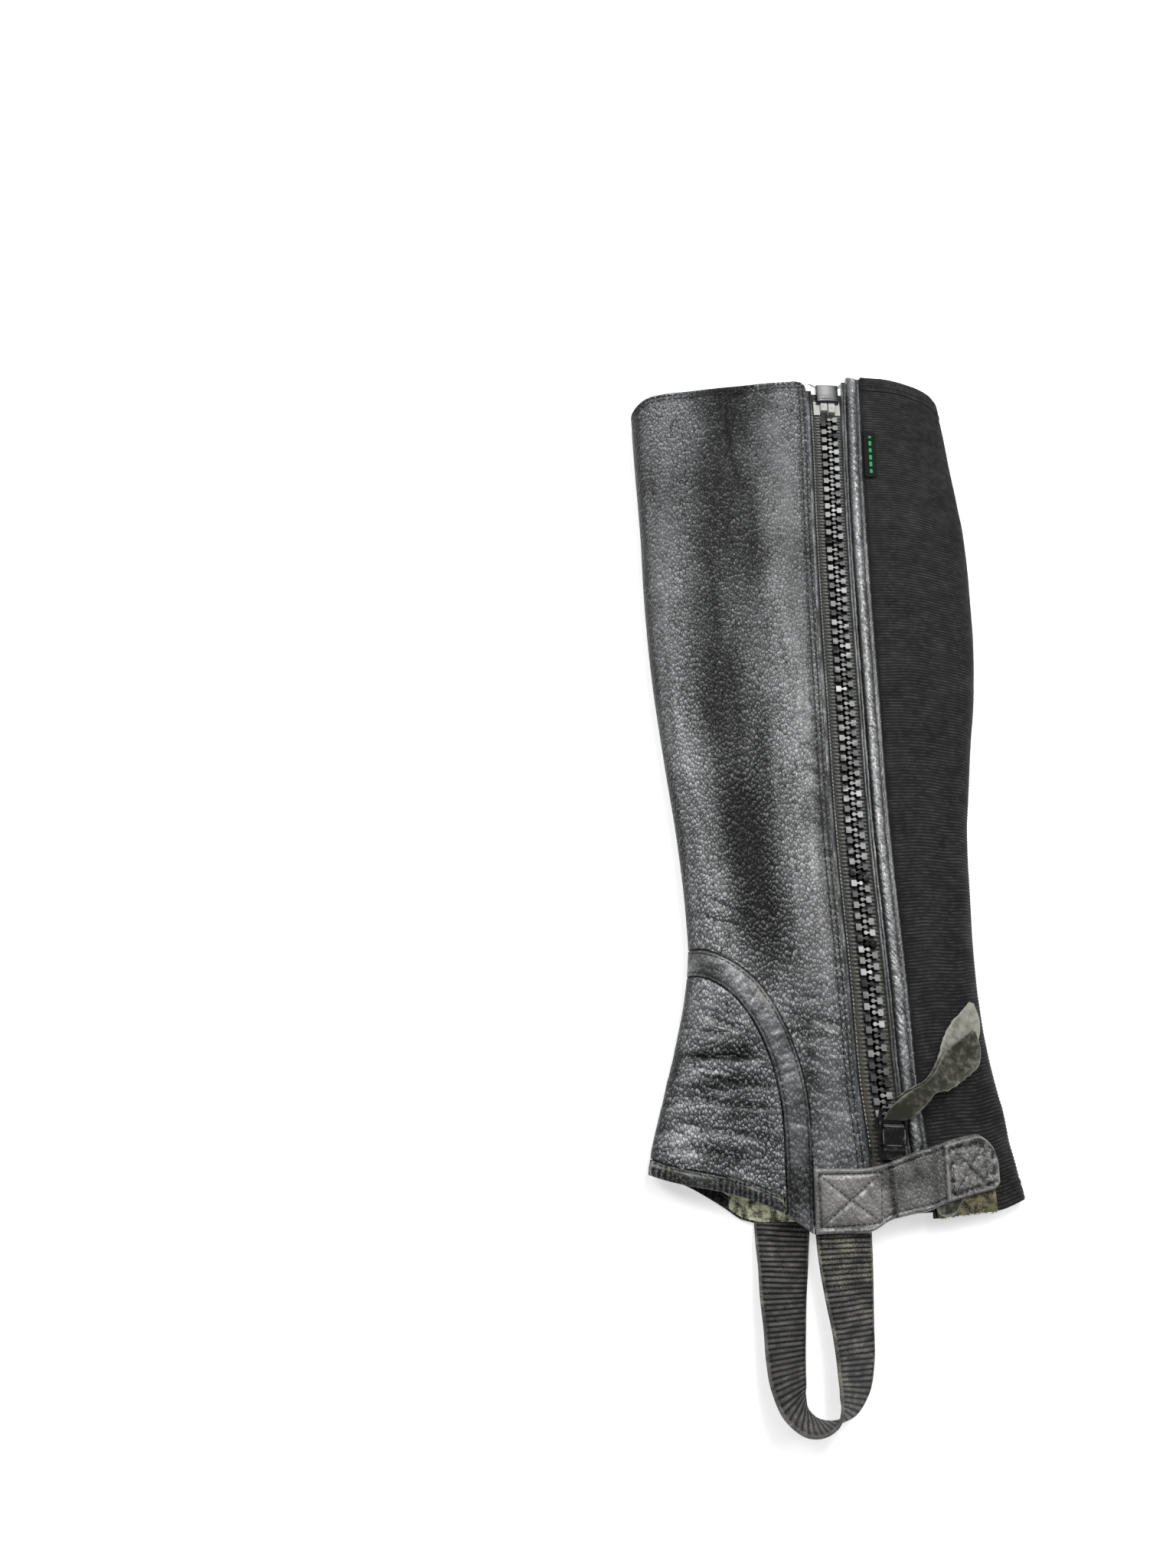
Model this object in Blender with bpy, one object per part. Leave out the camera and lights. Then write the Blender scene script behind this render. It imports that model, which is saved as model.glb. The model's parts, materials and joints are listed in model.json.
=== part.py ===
"""One half chap (a gaiter for the lower leg), laid flat on its inner side, zip side up.

It is a tube of leather and ribbed elastic, folded flat at the shin (-X) and at the calf (+X).
+Y runs from the ankle to the knee, and +Z up from the surface that it lies on. Every cloth
piece is a wall cut from one skin, the outer face of the flattened tube, so neighbours meet edge
to edge, and what lies on a panel is that panel's points moved out. Sizes are in millimetres
until a mesh is made.
"""
import math

import bmesh
import bpy
import numpy as np

MM = 0.001

# ---------------------------------------------------------------- driving sizes, millimetres
WALL = 2.0                 # leather and elastic
SEAM = 0.35                # gap between pieces that are sewn together
BAND_WIDTH = 12.3          # curved band over the ankle seam
BAND_RAISE = 0.8           # how far the band stands proud of the leather beside it
BINDING_WIDTH = 6.6        # rolled binding on the gusset's hem
BINDING_RAISE = 1.2
HEM_HEIGHT = 9.0           # turned hems of the elastic
HEM_RAISE = 0.7
RIB_PITCH = 2.3            # cross ribs of the stirrup webbing
RIB_DEPTH = 0.35
WEBBING_WIDTH = 25.4
WEBBING_THICKNESS = 1.8
TAPE_THICKNESS = 0.8
CHAIN_HALF_WIDTH = 4.3
CHAIN_TOP = 0.5            # above the leather's face
CHAIN_BOTTOM = -4.4
STRAP_THICKNESS = 2.0
PATCH_THICKNESS = 1.5
LOOP_PATCH_TOP = 1.8       # out of the elastic's face
LABEL_THICKNESS = 0.6
SHIN_RADIUS = 13.0         # how far in from each fold the wall has turned flat
CALF_RADIUS = 7.0
ELASTIC_UNDER = 24.0       # how far the elastic reaches round the calf fold, underneath
INNER_SIDE_SCALE = 0.67    # the hidden side's ankle pieces, measured from the shin fold

KNEE_FLARE = 2.2           # the strips on the zip's calf side lean out this far at the knee

# Offsets across the zip, from the middle of its chain.
LEATHER_EDGE = -11.5
FACING_LEFT = 6.9
ROLL_LEFT = 9.7
ROLL_RIGHT = 15.0
FLANGE_RIGHT = 17.7


def table(columns, rows):
    """Named columns of a short table, as arrays."""
    values = np.array(rows, dtype=float)
    return {name: values[:, i] for i, name in enumerate(columns.split())}


# Flattened leg from above: where its two folds lie, and its thickness beside the full 28 mm.
OUTLINE = table("y shin calf thickness", [
    (270, -93.0, 82.0, 0.88),
    (245, -91.5, 85.0, 0.92),
    (215, -90.0, 87.5, 0.96),
    (170, -87.3, 91.0, 1.00),
    (120, -85.3, 90.4, 1.00),
    (75, -81.7, 86.6, 1.00),
    (35, -76.8, 80.2, 1.00),
    (-5, -71.5, 74.8, 1.00),
    (-45, -67.9, 73.0, 1.00),
    (-65, -67.4, 72.3, 0.98),
    (-82, -69.6, 72.3, 0.96),
    (-100, -73.3, 73.6, 0.93),
    (-116, -77.4, 75.5, 0.89),
    (-133, -81.8, 78.2, 0.84),
    (-150, -86.2, 80.6, 0.78),
    (-166, -88.4, 83.4, 0.72),
    (-192, -91.0, 86.0, 0.64),
])
# Thickness of the leg across its width, from the shin fold (0) to the calf fold (1).
THICKNESS = table("across height", [
    (0.00, 25.0),
    (0.10, 27.5),
    (0.22, 28.0),
    (0.40, 26.0),
    (0.55, 25.0),
    (0.68, 23.5),
    (0.80, 19.0),
    (0.90, 14.5),
    (1.00, 11.0),
])
# Middle of the zip chain.
ZIP_LINE = table("y x", [
    (270, 18.2), (232, 17.7), (160, 15.6), (72, 14.8), (-9, 14.7), (-82, 17.0), (-124, 18.4),
    (-154, 21.3), (-192, 21.6),
])
# Knee edge of the leather and of the elastic, and the ankle edge of the elastic.
LEATHER_TOP = table("x y", [
    (-94, 242.0), (-85, 246.5), (-76, 248.4), (-59, 250.4), (-38, 253.8), (-16, 257.6), (8, 259.6),
])
ELASTIC_TOP = table("x y", [
    (20, 263.0), (41, 264.3), (55, 265.2), (66, 263.6), (76, 259.8), (84, 253.6), (94, 250.0),
])
ELASTIC_BOTTOM = table("x y", [
    (20, -181.5), (38, -180.4), (54, -178.4), (72, -176.6), (84, -172.5), (95, -171.5),
])
# Upper edge of the curved band on the visible side, from the shin fold to the hem.
BAND_EDGE = table("x y", [
    (-67.3, -60.3), (-60.5, -61.6), (-53.5, -64.3), (-46.0, -68.6), (-38.5, -74.8), (-31.7, -83.4),
    (-25.2, -94.9), (-20.4, -107.0), (-17.2, -119.0), (-15.3, -131.0), (-14.5, -144.0),
    (-14.1, -160.0), (-13.9, -174.5), (-13.7, -186.4),
])
# Lower edge of the gusset, on the visible side and on the hidden side.
HEM = table("x y", [
    (-89.0, -161.5), (-82.4, -163.6), (-70.3, -166.6), (-60.1, -169.2), (-51.2, -171.9),
    (-40.6, -175.7), (-27.4, -180.8), (-16.6, -186.4),
])
INNER_HEM = table("x y", [
    (-89.0, -161.5), (-79.0, -163.5), (-69.0, -167.4), (-61.0, -171.6), (-52.0, -177.0),
    (-46.0, -181.0), (-38.0, -183.2),
])
# Largest soft folds in the leather: middle, reach each way, turn in degrees, and depth.
FOLDS = table("x y reach_x reach_y turn depth", [
    (-31.0, 226.0, 8.0, 44.0, 10.0, 1.5),
    (-47.0, 112.0, 10.0, 46.0, -6.0, 1.6),
    (-35.0, 0.0, 9.0, 46.0, 8.0, 1.2),
    (-68.0, -112.0, 15.0, 4.4, 8.0, 1.3),
    (-58.0, -124.0, 18.0, 4.2, -10.0, 1.3),
    (-66.0, -140.0, 17.0, 4.6, -6.0, 1.1),
])
FOLD_CLEAR = 10.0          # how far from the zip's edge the folds have died out
LEATHER_BOTTOM = -186.4
INNER_BOTTOM = -183.4
# Edges of the ankle strap, from the stitched patch at its root to its free end.
STRAP = table("x top bottom", [
    (-13.0, -158.8, -186.2),
    (-2.0, -158.8, -185.9),
    (11.0, -158.4, -185.0),
    (18.0, -156.4, -181.0),
    (26.0, -153.4, -178.9),
    (35.0, -150.6, -176.8),
    (45.0, -147.6, -173.4),
    (55.0, -145.0, -170.8),
    (62.0, -144.3, -169.2),
    (66.5, -148.0, -168.2),
    (69.4, -157.0, -165.4),
])
STRAP_PATCH_START = 43.5
ZIP_EDGE_BOTTOM = -176.0   # ankle end of the leather strips beside the zip
# Middle line of the stirrup webbing: down from the strap's root, round and up to the inner side.
# The roll turns it from face up (0) to standing on its edge (90) and face down (180).
STIRRUP = table("x y z roll", [
    (-1.2, -166.0, 14.6, 2.6),
    (-1.4, -176.0, 13.8, 2.6),
    (-1.3, -188.0, 12.7, 4),
    (-0.9, -200.0, 12.0, 12),
    (-0.3, -212.0, 11.5, 23),
    (0.4, -225.0, 11.6, 34),
    (0.4, -239.0, 12.2, 41),
    (-1.0, -249.0, 13.0, 49),
    (-4.4, -256.8, 13.5, 62),
    (-9.6, -261.2, 13.8, 78),
    (-16.2, -262.6, 14.0, 92),
    (-22.4, -260.6, 13.6, 108),
    (-26.8, -255.0, 12.2, 123),
    (-28.8, -246.5, 10.8, 134),
    (-29.3, -236.0, 9.8, 140),
    (-29.0, -225.0, 9.0, 144),
    (-28.8, -212.0, 7.6, 152),
    (-28.0, -200.0, 6.0, 160),
    (-27.7, -191.0, 4.6, 169),
    (-27.3, -184.0, 3.5, 178),
    (-27.1, -176.0, 3.4, 180),
    (-27.1, -168.0, 3.4, 180),
])
# Thong on the zip's pull: middle line, its height over the skin, and the half-width vector,
# for the tail that comes up through the pull's window and for the one that lies behind it.
THONG_FRONT = table("x y lift wx wy wz", [
    (21.6, -138.0, 6.3, -4.9, 0.3, 0.75),
    (23.0, -136.6, 6.7, -4.8, 1.4, 0.85),
    (25.6, -134.6, 7.2, -4.4, 2.6, 0.85),
    (30.0, -131.2, 7.6, -3.8, 3.3, 0.5),
    (34.8, -127.8, 7.4, -2.9, 3.0, -0.3),
    (39.4, -124.6, 7.2, -2.2, 2.1, -0.8),
    (45.4, -121.6, 6.4, -3.2, 3.6, -0.5),
    (53.4, -115.6, 5.4, -4.8, 4.9, 0.4),
    (61.6, -107.4, 5.4, -5.9, 5.7, 0.9),
    (67.0, -102.2, 5.8, -4.0, 3.9, 0.8),
    (69.6, -99.6, 6.2, -1.0, 1.1, 0.2),
])
THONG_BACK = table("x y lift wx wy wz", [
    (27.4, -130.0, 2.6, -3.0, 1.9, 0.3),
    (31.0, -128.6, 3.6, -3.1, 2.7, 0.0),
    (35.2, -126.2, 4.4, -2.6, 2.7, -0.3),
    (39.8, -123.2, 4.2, -2.0, 2.2, -0.6),
    (44.6, -119.6, 3.2, -2.7, 2.4, -0.2),
    (50.2, -114.4, 2.4, -4.4, 3.4, 0.6),
    (56.0, -106.2, 2.2, -6.2, 4.2, 0.8),
    (61.2, -97.6, 2.6, -6.4, 3.6, 1.0),
    (64.4, -90.4, 3.4, -4.2, 1.6, 0.8),
    (65.2, -85.0, 4.0, -1.0, 0.3, 0.2),
])
THONG_THICKNESS = 1.2

# Slider and pull: heights are out of the leather's face, lengths from the pivot.
SLIDER_TOP_Y = -136.5
SLIDER_BOTTOM_Y = -155.0
SLIDER_HALF_WIDTH = 7.2
SLIDER_WAIST = 5.9
SLIDER_POST = 1.8
SLIDER_PLATE_TOP = 3.0
SLIDER_PLATE_UNDER = 0.9
SLIDER_PLATE_BOTTOM = -6.4
BRIDGE_HALF_WIDTH = 4.7    # the slider's bridge, which the pull's bar runs under
BRIDGE_HEIGHT = 3.6
BRIDGE_START = -3.3
BRIDGE_END = 8.7
TUNNEL_HALF = 1.45
TUNNEL_HEIGHT = 2.6
PIVOT_Y = -147.8
PIVOT_HEIGHT = 1.35
SLIDER_TURN = math.radians(-8.0)   # the slider sits askew on the chain, turned to the calf
PULL_SWING = math.radians(-2.0)    # and the loose pull leans a little more
PULL_HALF_WIDTH = 6.5
PULL_LENGTH = 16.0
PULL_THICKNESS = 1.5
PULL_BAR = 0.9             # half the width of the bar that the pull turns on
PULL_RAIL = 1.25
PULL_END_BAR = 1.7


# ---------------------------------------------------------------- curves through the tables
def smooth(rows, column, at, key="y"):
    """Smooth curve through one column of a table, read at the given values of its key."""
    order = np.argsort(rows[key])
    knots, values = rows[key][order], rows[column][order]
    slopes = np.gradient(values, knots)
    at = np.clip(np.asarray(at, dtype=float), knots[0], knots[-1])
    i = np.clip(np.searchsorted(knots, at) - 1, 0, len(knots) - 2)
    step = knots[i + 1] - knots[i]
    t = (at - knots[i]) / step
    return (values[i] * (1 + 2 * t) * (1 - t) ** 2 + step * slopes[i] * t * (1 - t) ** 2
            + values[i + 1] * t ** 2 * (3 - 2 * t) + step * slopes[i + 1] * t ** 2 * (t - 1))


def path(rows, columns, count, crowding=1.0):
    """Points of a smooth curve through a table's named columns, evenly spaced or crowded at its start."""
    names = columns.split()
    points = np.stack([rows[name] for name in names], axis=1)
    span = np.linalg.norm(np.diff(points[:, :2], axis=0), axis=1)
    along = {"s": np.concatenate([[0.0], np.cumsum(span)])}
    along.update({name: rows[name] for name in names})
    at = along["s"][-1] * np.linspace(0.0, 1.0, count) ** crowding
    return np.stack([smooth(along, name, at, key="s") for name in names], axis=1)


def zip_x(y):
    """Middle of the zip chain at a height along the leg."""
    return smooth(ZIP_LINE, "x", y)


def flare(y):
    """How much further out the strips beside the zip stand, near the knee."""
    share = np.clip((np.asarray(y) - 190.0) / 75.0, 0.0, 1.0)
    return KNEE_FLARE * share ** 2


# ---------------------------------------------------------------- the flattened tube
def section_point(phi, y):
    """X and Z of the skin. phi is 0 at the shin fold, pi at the calf fold, negative below."""
    shin, calf = smooth(OUTLINE, "shin", y), smooth(OUTLINE, "calf", y)
    width = calf - shin
    across = (1.0 - np.cos(phi)) / 2.0
    height = smooth(THICKNESS, "height", across, key="across") * smooth(OUTLINE, "thickness", y)
    turn_shin = np.clip(across * width / SHIN_RADIUS, 0.0, 1.0)
    turn_calf = np.clip((1.0 - across) * width / CALF_RADIUS, 0.0, 1.0)
    opened = np.sqrt(1.0 - (1.0 - turn_shin) ** 2) * np.sqrt(1.0 - (1.0 - turn_calf) ** 2)
    side = np.sign(np.sin(phi))
    return shin + across * width, height / 2.0 * (1.0 + side * opened)


def skin(phi, y, lift=0.0):
    """Point of the tube's outer face, moved out along its section's normal by lift."""
    phi, y, lift = np.broadcast_arrays(*(np.asarray(v, dtype=float) for v in (phi, y, lift)))
    nudge = 0.004
    x, z = section_point(phi, y)
    x0, z0 = section_point(phi - nudge, y)
    x1, z1 = section_point(phi + nudge, y)
    run, rise = x1 - x0, z1 - z0
    length = np.hypot(run, rise)
    return np.stack([x - rise / length * lift, y, z + run / length * lift], axis=-1)


def phi_at(x, y, below=False):
    """Section angle of the skin point over (or, on the hidden side, under) a place x."""
    shin, calf = smooth(OUTLINE, "shin", y), smooth(OUTLINE, "calf", y)
    across = np.clip((x - shin) / (calf - shin), 0.0, 1.0)
    phi = np.arccos(1.0 - 2.0 * across)
    return -phi if below else phi


# ---------------------------------------------------------------- meshes
def material(name, colour, roughness, metallic=0.0):
    """Principled material with one colour."""
    made = bpy.data.materials.new(name)
    made.use_nodes = True
    shader = made.node_tree.nodes["Principled BSDF"]
    shader.inputs["Base Color"].default_value = (*colour, 1.0)
    shader.inputs["Roughness"].default_value = roughness
    shader.inputs["Metallic"].default_value = metallic
    return made


def add_object(name, vertices, faces, finish, origin=(0.0, 0.0, 0.0)):
    """Closed mesh object from millimetre points, with its origin at a given place."""
    mesh = bpy.data.meshes.new(name)
    shape = bmesh.new()
    corners = [shape.verts.new((np.asarray(v) - origin) * MM) for v in vertices]
    for face in faces:
        shape.faces.new([corners[i] for i in face])
    bmesh.ops.recalc_face_normals(shape, faces=shape.faces)
    shape.to_mesh(mesh)
    shape.free()
    mesh.materials.append(finish)
    mesh.shade_smooth()
    mesh.set_sharp_from_angle(angle=math.radians(40))
    made = bpy.data.objects.new(name, mesh)
    made.location = np.asarray(origin) * MM
    bpy.context.collection.objects.link(made)
    return made


def add_wall(name, outer, inner, finish, origin=(0.0, 0.0, 0.0)):
    """Closed wall between two grids of points of the same size."""
    rows, columns = outer.shape[:2]
    vertices = np.concatenate([outer.reshape(-1, 3), inner.reshape(-1, 3)])
    under = rows * columns

    def cell(i, j):
        return i * columns + j

    faces = []
    for i in range(rows - 1):
        for j in range(columns - 1):
            quad = [cell(i, j), cell(i, j + 1), cell(i + 1, j + 1), cell(i + 1, j)]
            faces.append(quad)
            faces.append([under + k for k in reversed(quad)])
    rim = ([cell(0, j) for j in range(columns)] + [cell(i, columns - 1) for i in range(1, rows)]
           + [cell(rows - 1, j) for j in range(columns - 2, -1, -1)]
           + [cell(i, 0) for i in range(rows - 2, 0, -1)])
    for a, b in zip(rim, rim[1:] + rim[:1]):
        faces.append([b, a, under + a, under + b])
    return add_object(name, vertices, faces, finish, origin)


def add_skin_panel(name, phi, y, outer_lift, inner_lift, finish):
    """Wall cut from the skin, between two lifts out of it."""
    return add_wall(name, skin(phi, y, outer_lift), skin(phi, y, inner_lift), finish)


def between(first, last, shares):
    """Rows of points from one rail to another, at the given shares of the way."""
    shares = np.asarray(shares)[:, None]
    return first[None, :] * (1.0 - shares) + last[None, :] * shares


def visible(phi):
    """1 on the upper side and 0 on the side that rests flat, eased over each fold."""
    return np.clip(np.sin(phi) * 4.0 + 0.2, 0.0, 1.0)


def fold_depth(phi, y):
    """How far the leather is pressed in by its soft folds, on the side that shows."""
    x = section_point(phi, y)[0]
    depth = np.zeros(np.shape(x))
    for i, turn in enumerate(np.radians(FOLDS["turn"])):
        u, v = x - FOLDS["x"][i], y - FOLDS["y"][i]
        across = (u * np.cos(turn) - v * np.sin(turn)) / FOLDS["reach_x"][i]
        along = (u * np.sin(turn) + v * np.cos(turn)) / FOLDS["reach_y"][i]
        depth = depth + FOLDS["depth"][i] * np.exp(-across ** 2 - along ** 2)
    clear = np.clip((zip_x(y) + LEATHER_EDGE - FOLD_CLEAR - x) / FOLD_CLEAR, 0.0, 1.0)
    return depth * clear * visible(phi)


# ---------------------------------------------------------------- leather rails
def curved_band_rails():
    """Upper and lower edge of the curved band, from the hidden hem over the shin to the hem."""
    upper = path(BAND_EDGE, "x y", 17, crowding=1.5)
    along = np.gradient(upper, axis=0)
    along /= np.linalg.norm(along, axis=1)[:, None]
    inward = np.stack([along[:, 1], -along[:, 0]], axis=1)
    inward[0] = (0.0, -1.0)
    lower = upper + inward * BAND_WIDTH
    lower[0, 0] = smooth(OUTLINE, "shin", lower[0, 1])
    lower[-1] = (upper[-1, 0] - BAND_WIDTH, smooth(HEM, "y", upper[-1, 0] - BAND_WIDTH, key="x"))
    rails = []
    for rail, bottom in ((upper, INNER_BOTTOM), (lower, None)):
        shown_y = rail[:, 1]
        shown = phi_at(rail[:, 0], shown_y)
        fold = smooth(OUTLINE, "shin", shown_y)
        hidden_x = fold + (rail[:, 0] - fold) * INNER_SIDE_SCALE
        hidden_x = np.maximum.accumulate(hidden_x) + 0.03 * np.arange(len(fold))
        hidden_y = shown_y.copy()
        end = smooth(INNER_HEM, "y", hidden_x[-1], key="x") if bottom is None else bottom
        ease = np.clip((-120.0 - hidden_y) / 60.0, 0.0, 1.0)
        hidden_y = hidden_y + ease * (end - shown_y[-1])
        hidden = phi_at(hidden_x, hidden_y, below=True)
        shown[0] = hidden[0] = 0.0
        rails.append((np.concatenate([hidden[:0:-1], shown]),
                      np.concatenate([hidden_y[:0:-1], shown_y])))
    return rails


def move_rail(phi, y, away_phi, away_y, distance):
    """Rail moved by a distance, away from another rail that it faces."""
    here, there = skin(phi, y), skin(away_phi, away_y)
    gap = np.linalg.norm(here - there, axis=1)
    share = distance / np.maximum(gap, distance)
    return phi + (phi - away_phi) * share, y + (y - away_y) * share


def spread(roots):
    """Places from 0 to 1 in the order of some others, with room made where those crowd."""
    steps = np.diff(roots) + 0.35 / len(roots)
    return np.concatenate([[0.0], np.cumsum(steps) / steps.sum()])


def build_leather(finish):
    """Leg panel, curved band, gusset and its hem binding."""
    (upper_phi, upper_y), (lower_phi, lower_y) = curved_band_rails()

    # Leg: up from the band and the hems beside it, to the knee edge.
    low_phi, low_y = move_rail(upper_phi, upper_y, lower_phi, lower_y, SEAM)
    under_x = np.linspace(smooth(OUTLINE, "calf", -180.0) - ELASTIC_UNDER, -38.0, 5)[:-1]
    under_y = np.linspace(-177.0, INNER_BOTTOM, 5)[:-1]
    root_y = np.full(3, LEATHER_BOTTOM)
    root_x = np.linspace(-12.0, zip_x(LEATHER_BOTTOM) + LEATHER_EDGE, 3)
    foot_phi = np.concatenate([phi_at(under_x, under_y, below=True), low_phi,
                               phi_at(root_x, root_y)])
    foot_y = np.concatenate([under_y, low_y, root_y])
    shares = np.linspace(0.0, 1.0, 26)
    y_first = foot_y[None, :] + (255.0 - foot_y[None, :]) * shares[:, None]

    # Columns keep their place between the fold and the panel's own edge, and spread to the knee.
    edge_shown = zip_x(y_first) + LEATHER_EDGE
    edge_hidden = smooth(OUTLINE, "calf", y_first) - ELASTIC_UNDER
    fold = smooth(OUTLINE, "shin", y_first)
    reach = np.where(foot_phi[None, :] > 0, edge_shown - fold, edge_hidden - fold)
    foot_x = section_point(foot_phi, foot_y)[0]
    foot_root = np.sqrt(np.clip((foot_x - fold[0]) / reach[0], 0.0, 1.0))
    middle = int(np.argmin(np.abs(foot_phi)))
    knee_root = np.concatenate([spread(foot_root[middle::-1])[:0:-1], spread(foot_root[middle:])])
    ease = shares[:, None] ** 2.5
    root = foot_root[None, :] * (1.0 - ease) + knee_root[None, :] * ease
    x = fold + root ** 2 * reach
    knee_y = smooth(LEATHER_TOP, "y", x[-1], key="x")
    knee_y[:middle] -= 3.0 * (1.0 - (1.0 - root[-1, :middle]) ** 2)
    knee_y[-1] -= 5.0
    y = foot_y[None, :] + (knee_y - foot_y)[None, :] * shares[:, None]
    phi = phi_at(x, y) * np.sign(foot_phi)[None, :]
    depth = fold_depth(phi, y)
    add_skin_panel("leg_leather", phi, y, -depth, -depth - WALL, finish)

    # Band: proud of the leather on the side that shows.
    shares = np.array([0.0, 0.12, 0.5, 0.88, 1.0])
    crown = np.array([0.35, 1.0, 1.0, 1.0, 0.35])[:, None]
    phi, y = between(upper_phi, lower_phi, shares), between(upper_y, lower_y, shares)
    add_skin_panel("ankle_band", phi, y, BAND_RAISE * crown * visible(phi), -WALL, finish)

    # Binding along the gusset's hem, between the two ends of the band.
    low_x, high_x = (float(section_point(lower_phi[i], lower_y[i])[0]) for i in (0, -1))
    ends = (float(phi_at(low_x - 0.9, -176.0, below=True)), float(phi_at(high_x - 1.0, -178.0)))
    shares = np.array([0.0, 0.25, 0.5, 0.75, 1.0])
    crown = np.array([0.0, 0.8, 1.0, 0.8, 0.1])[:, None]
    hem_phi = np.linspace(ends[0], ends[1], 27)
    phi = between(hem_phi, hem_phi, shares)
    y = hem_y(hem_phi)[None, :] + BINDING_WIDTH * shares[:, None]
    add_skin_panel("gusset_binding", phi, y, BINDING_RAISE * crown * visible(phi), -WALL, finish)

    # Gusset: from the band's lower edge down to the binding.
    top_phi, top_y = move_rail(lower_phi, lower_y, upper_phi, upper_y, SEAM)
    keep = top_y > hem_y(top_phi) + BINDING_WIDTH + 2.0
    top_phi, top_y = top_phi[keep], top_y[keep]
    middle = int(np.argmin(np.abs(top_phi)))
    foot_phi = np.concatenate([np.linspace(top_phi[0], 0.0, middle + 1)[:-1],
                               np.linspace(0.0, top_phi[-1], len(top_phi) - middle)])
    foot_y = hem_y(foot_phi) + BINDING_WIDTH + SEAM
    shares = np.linspace(0.0, 1.0, 13)
    phi, y = between(foot_phi, top_phi, shares), between(foot_y, top_y, shares)
    depth = fold_depth(phi, y)
    add_skin_panel("ankle_gusset", phi, y, -depth, -depth - WALL, finish)


def hem_y(phi):
    """Height of the gusset's lower edge at a section angle, on the visible or hidden side."""
    y = np.full(np.shape(phi), -168.0)
    for _ in range(4):
        x = section_point(phi, y)[0]
        y = np.where(phi < 0.0, smooth(INNER_HEM, "y", x, key="x"), smooth(HEM, "y", x, key="x"))
    return y


# ---------------------------------------------------------------- elastic and zip
def along_zip(y_low, y_high, count, offset_left, offset_right, columns=2, lean=0.0):
    """Grid of section angles and heights between two offsets from the zip's middle."""
    y = np.linspace(y_low, y_high, count)[:, None] * np.ones((1, columns))
    offsets = np.linspace(offset_left, offset_right, columns)[None, :]
    return phi_at(zip_x(y) + offsets + lean * flare(y), y), y


def build_elastic(finish):
    """Ribbed elastic calf panel, from the zip's flange round the calf fold."""
    turn = np.array([-1.0, -0.72, -0.5, -0.34, -0.2, -0.08, 0.04, 0.17, 0.3, 0.46, 0.62, 0.8, 1.0])
    y_line = np.concatenate([
        [0.0, HEM_HEIGHT, HEM_HEIGHT + 1.0], np.linspace(22.0, 420.0, 20),
        [-HEM_HEIGHT - 1.0, -HEM_HEIGHT, 0.0]])
    shown = turn[None, :] > 0
    y = np.zeros((len(y_line), len(turn)))
    x = np.zeros_like(y)
    for _ in range(3):
        calf = smooth(OUTLINE, "calf", y)
        flange = zip_x(y) + FLANGE_RIGHT + SEAM + flare(y)
        reach = np.where(shown, calf - flange, ELASTIC_UNDER - SEAM)
        x = calf - reach * turn[None, :] ** 2
        low = smooth(ELASTIC_BOTTOM, "y", x[0], key="x") * np.ones_like(turn)
        high = smooth(ELASTIC_TOP, "y", x[-1], key="x") - np.where(shown[0], 0.0, 3.0)
        middle = (y_line[3:-3, None] - 22.0) / (420.0 - 22.0)
        y = np.concatenate([
            low + y_line[:3, None],
            (low + 22.0) + middle * (high - low - 44.0),
            high + y_line[-3:, None]])
    phi = phi_at(x, y)
    phi = np.where(shown, phi, 2.0 * math.pi - phi)
    hem = ((y - y[0] < HEM_HEIGHT + 0.5) | (y[-1] - y < HEM_HEIGHT + 0.5))
    lift = HEM_RAISE * hem * visible(phi)
    add_skin_panel("elastic_panel", phi, y, lift, -WALL, finish)


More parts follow.
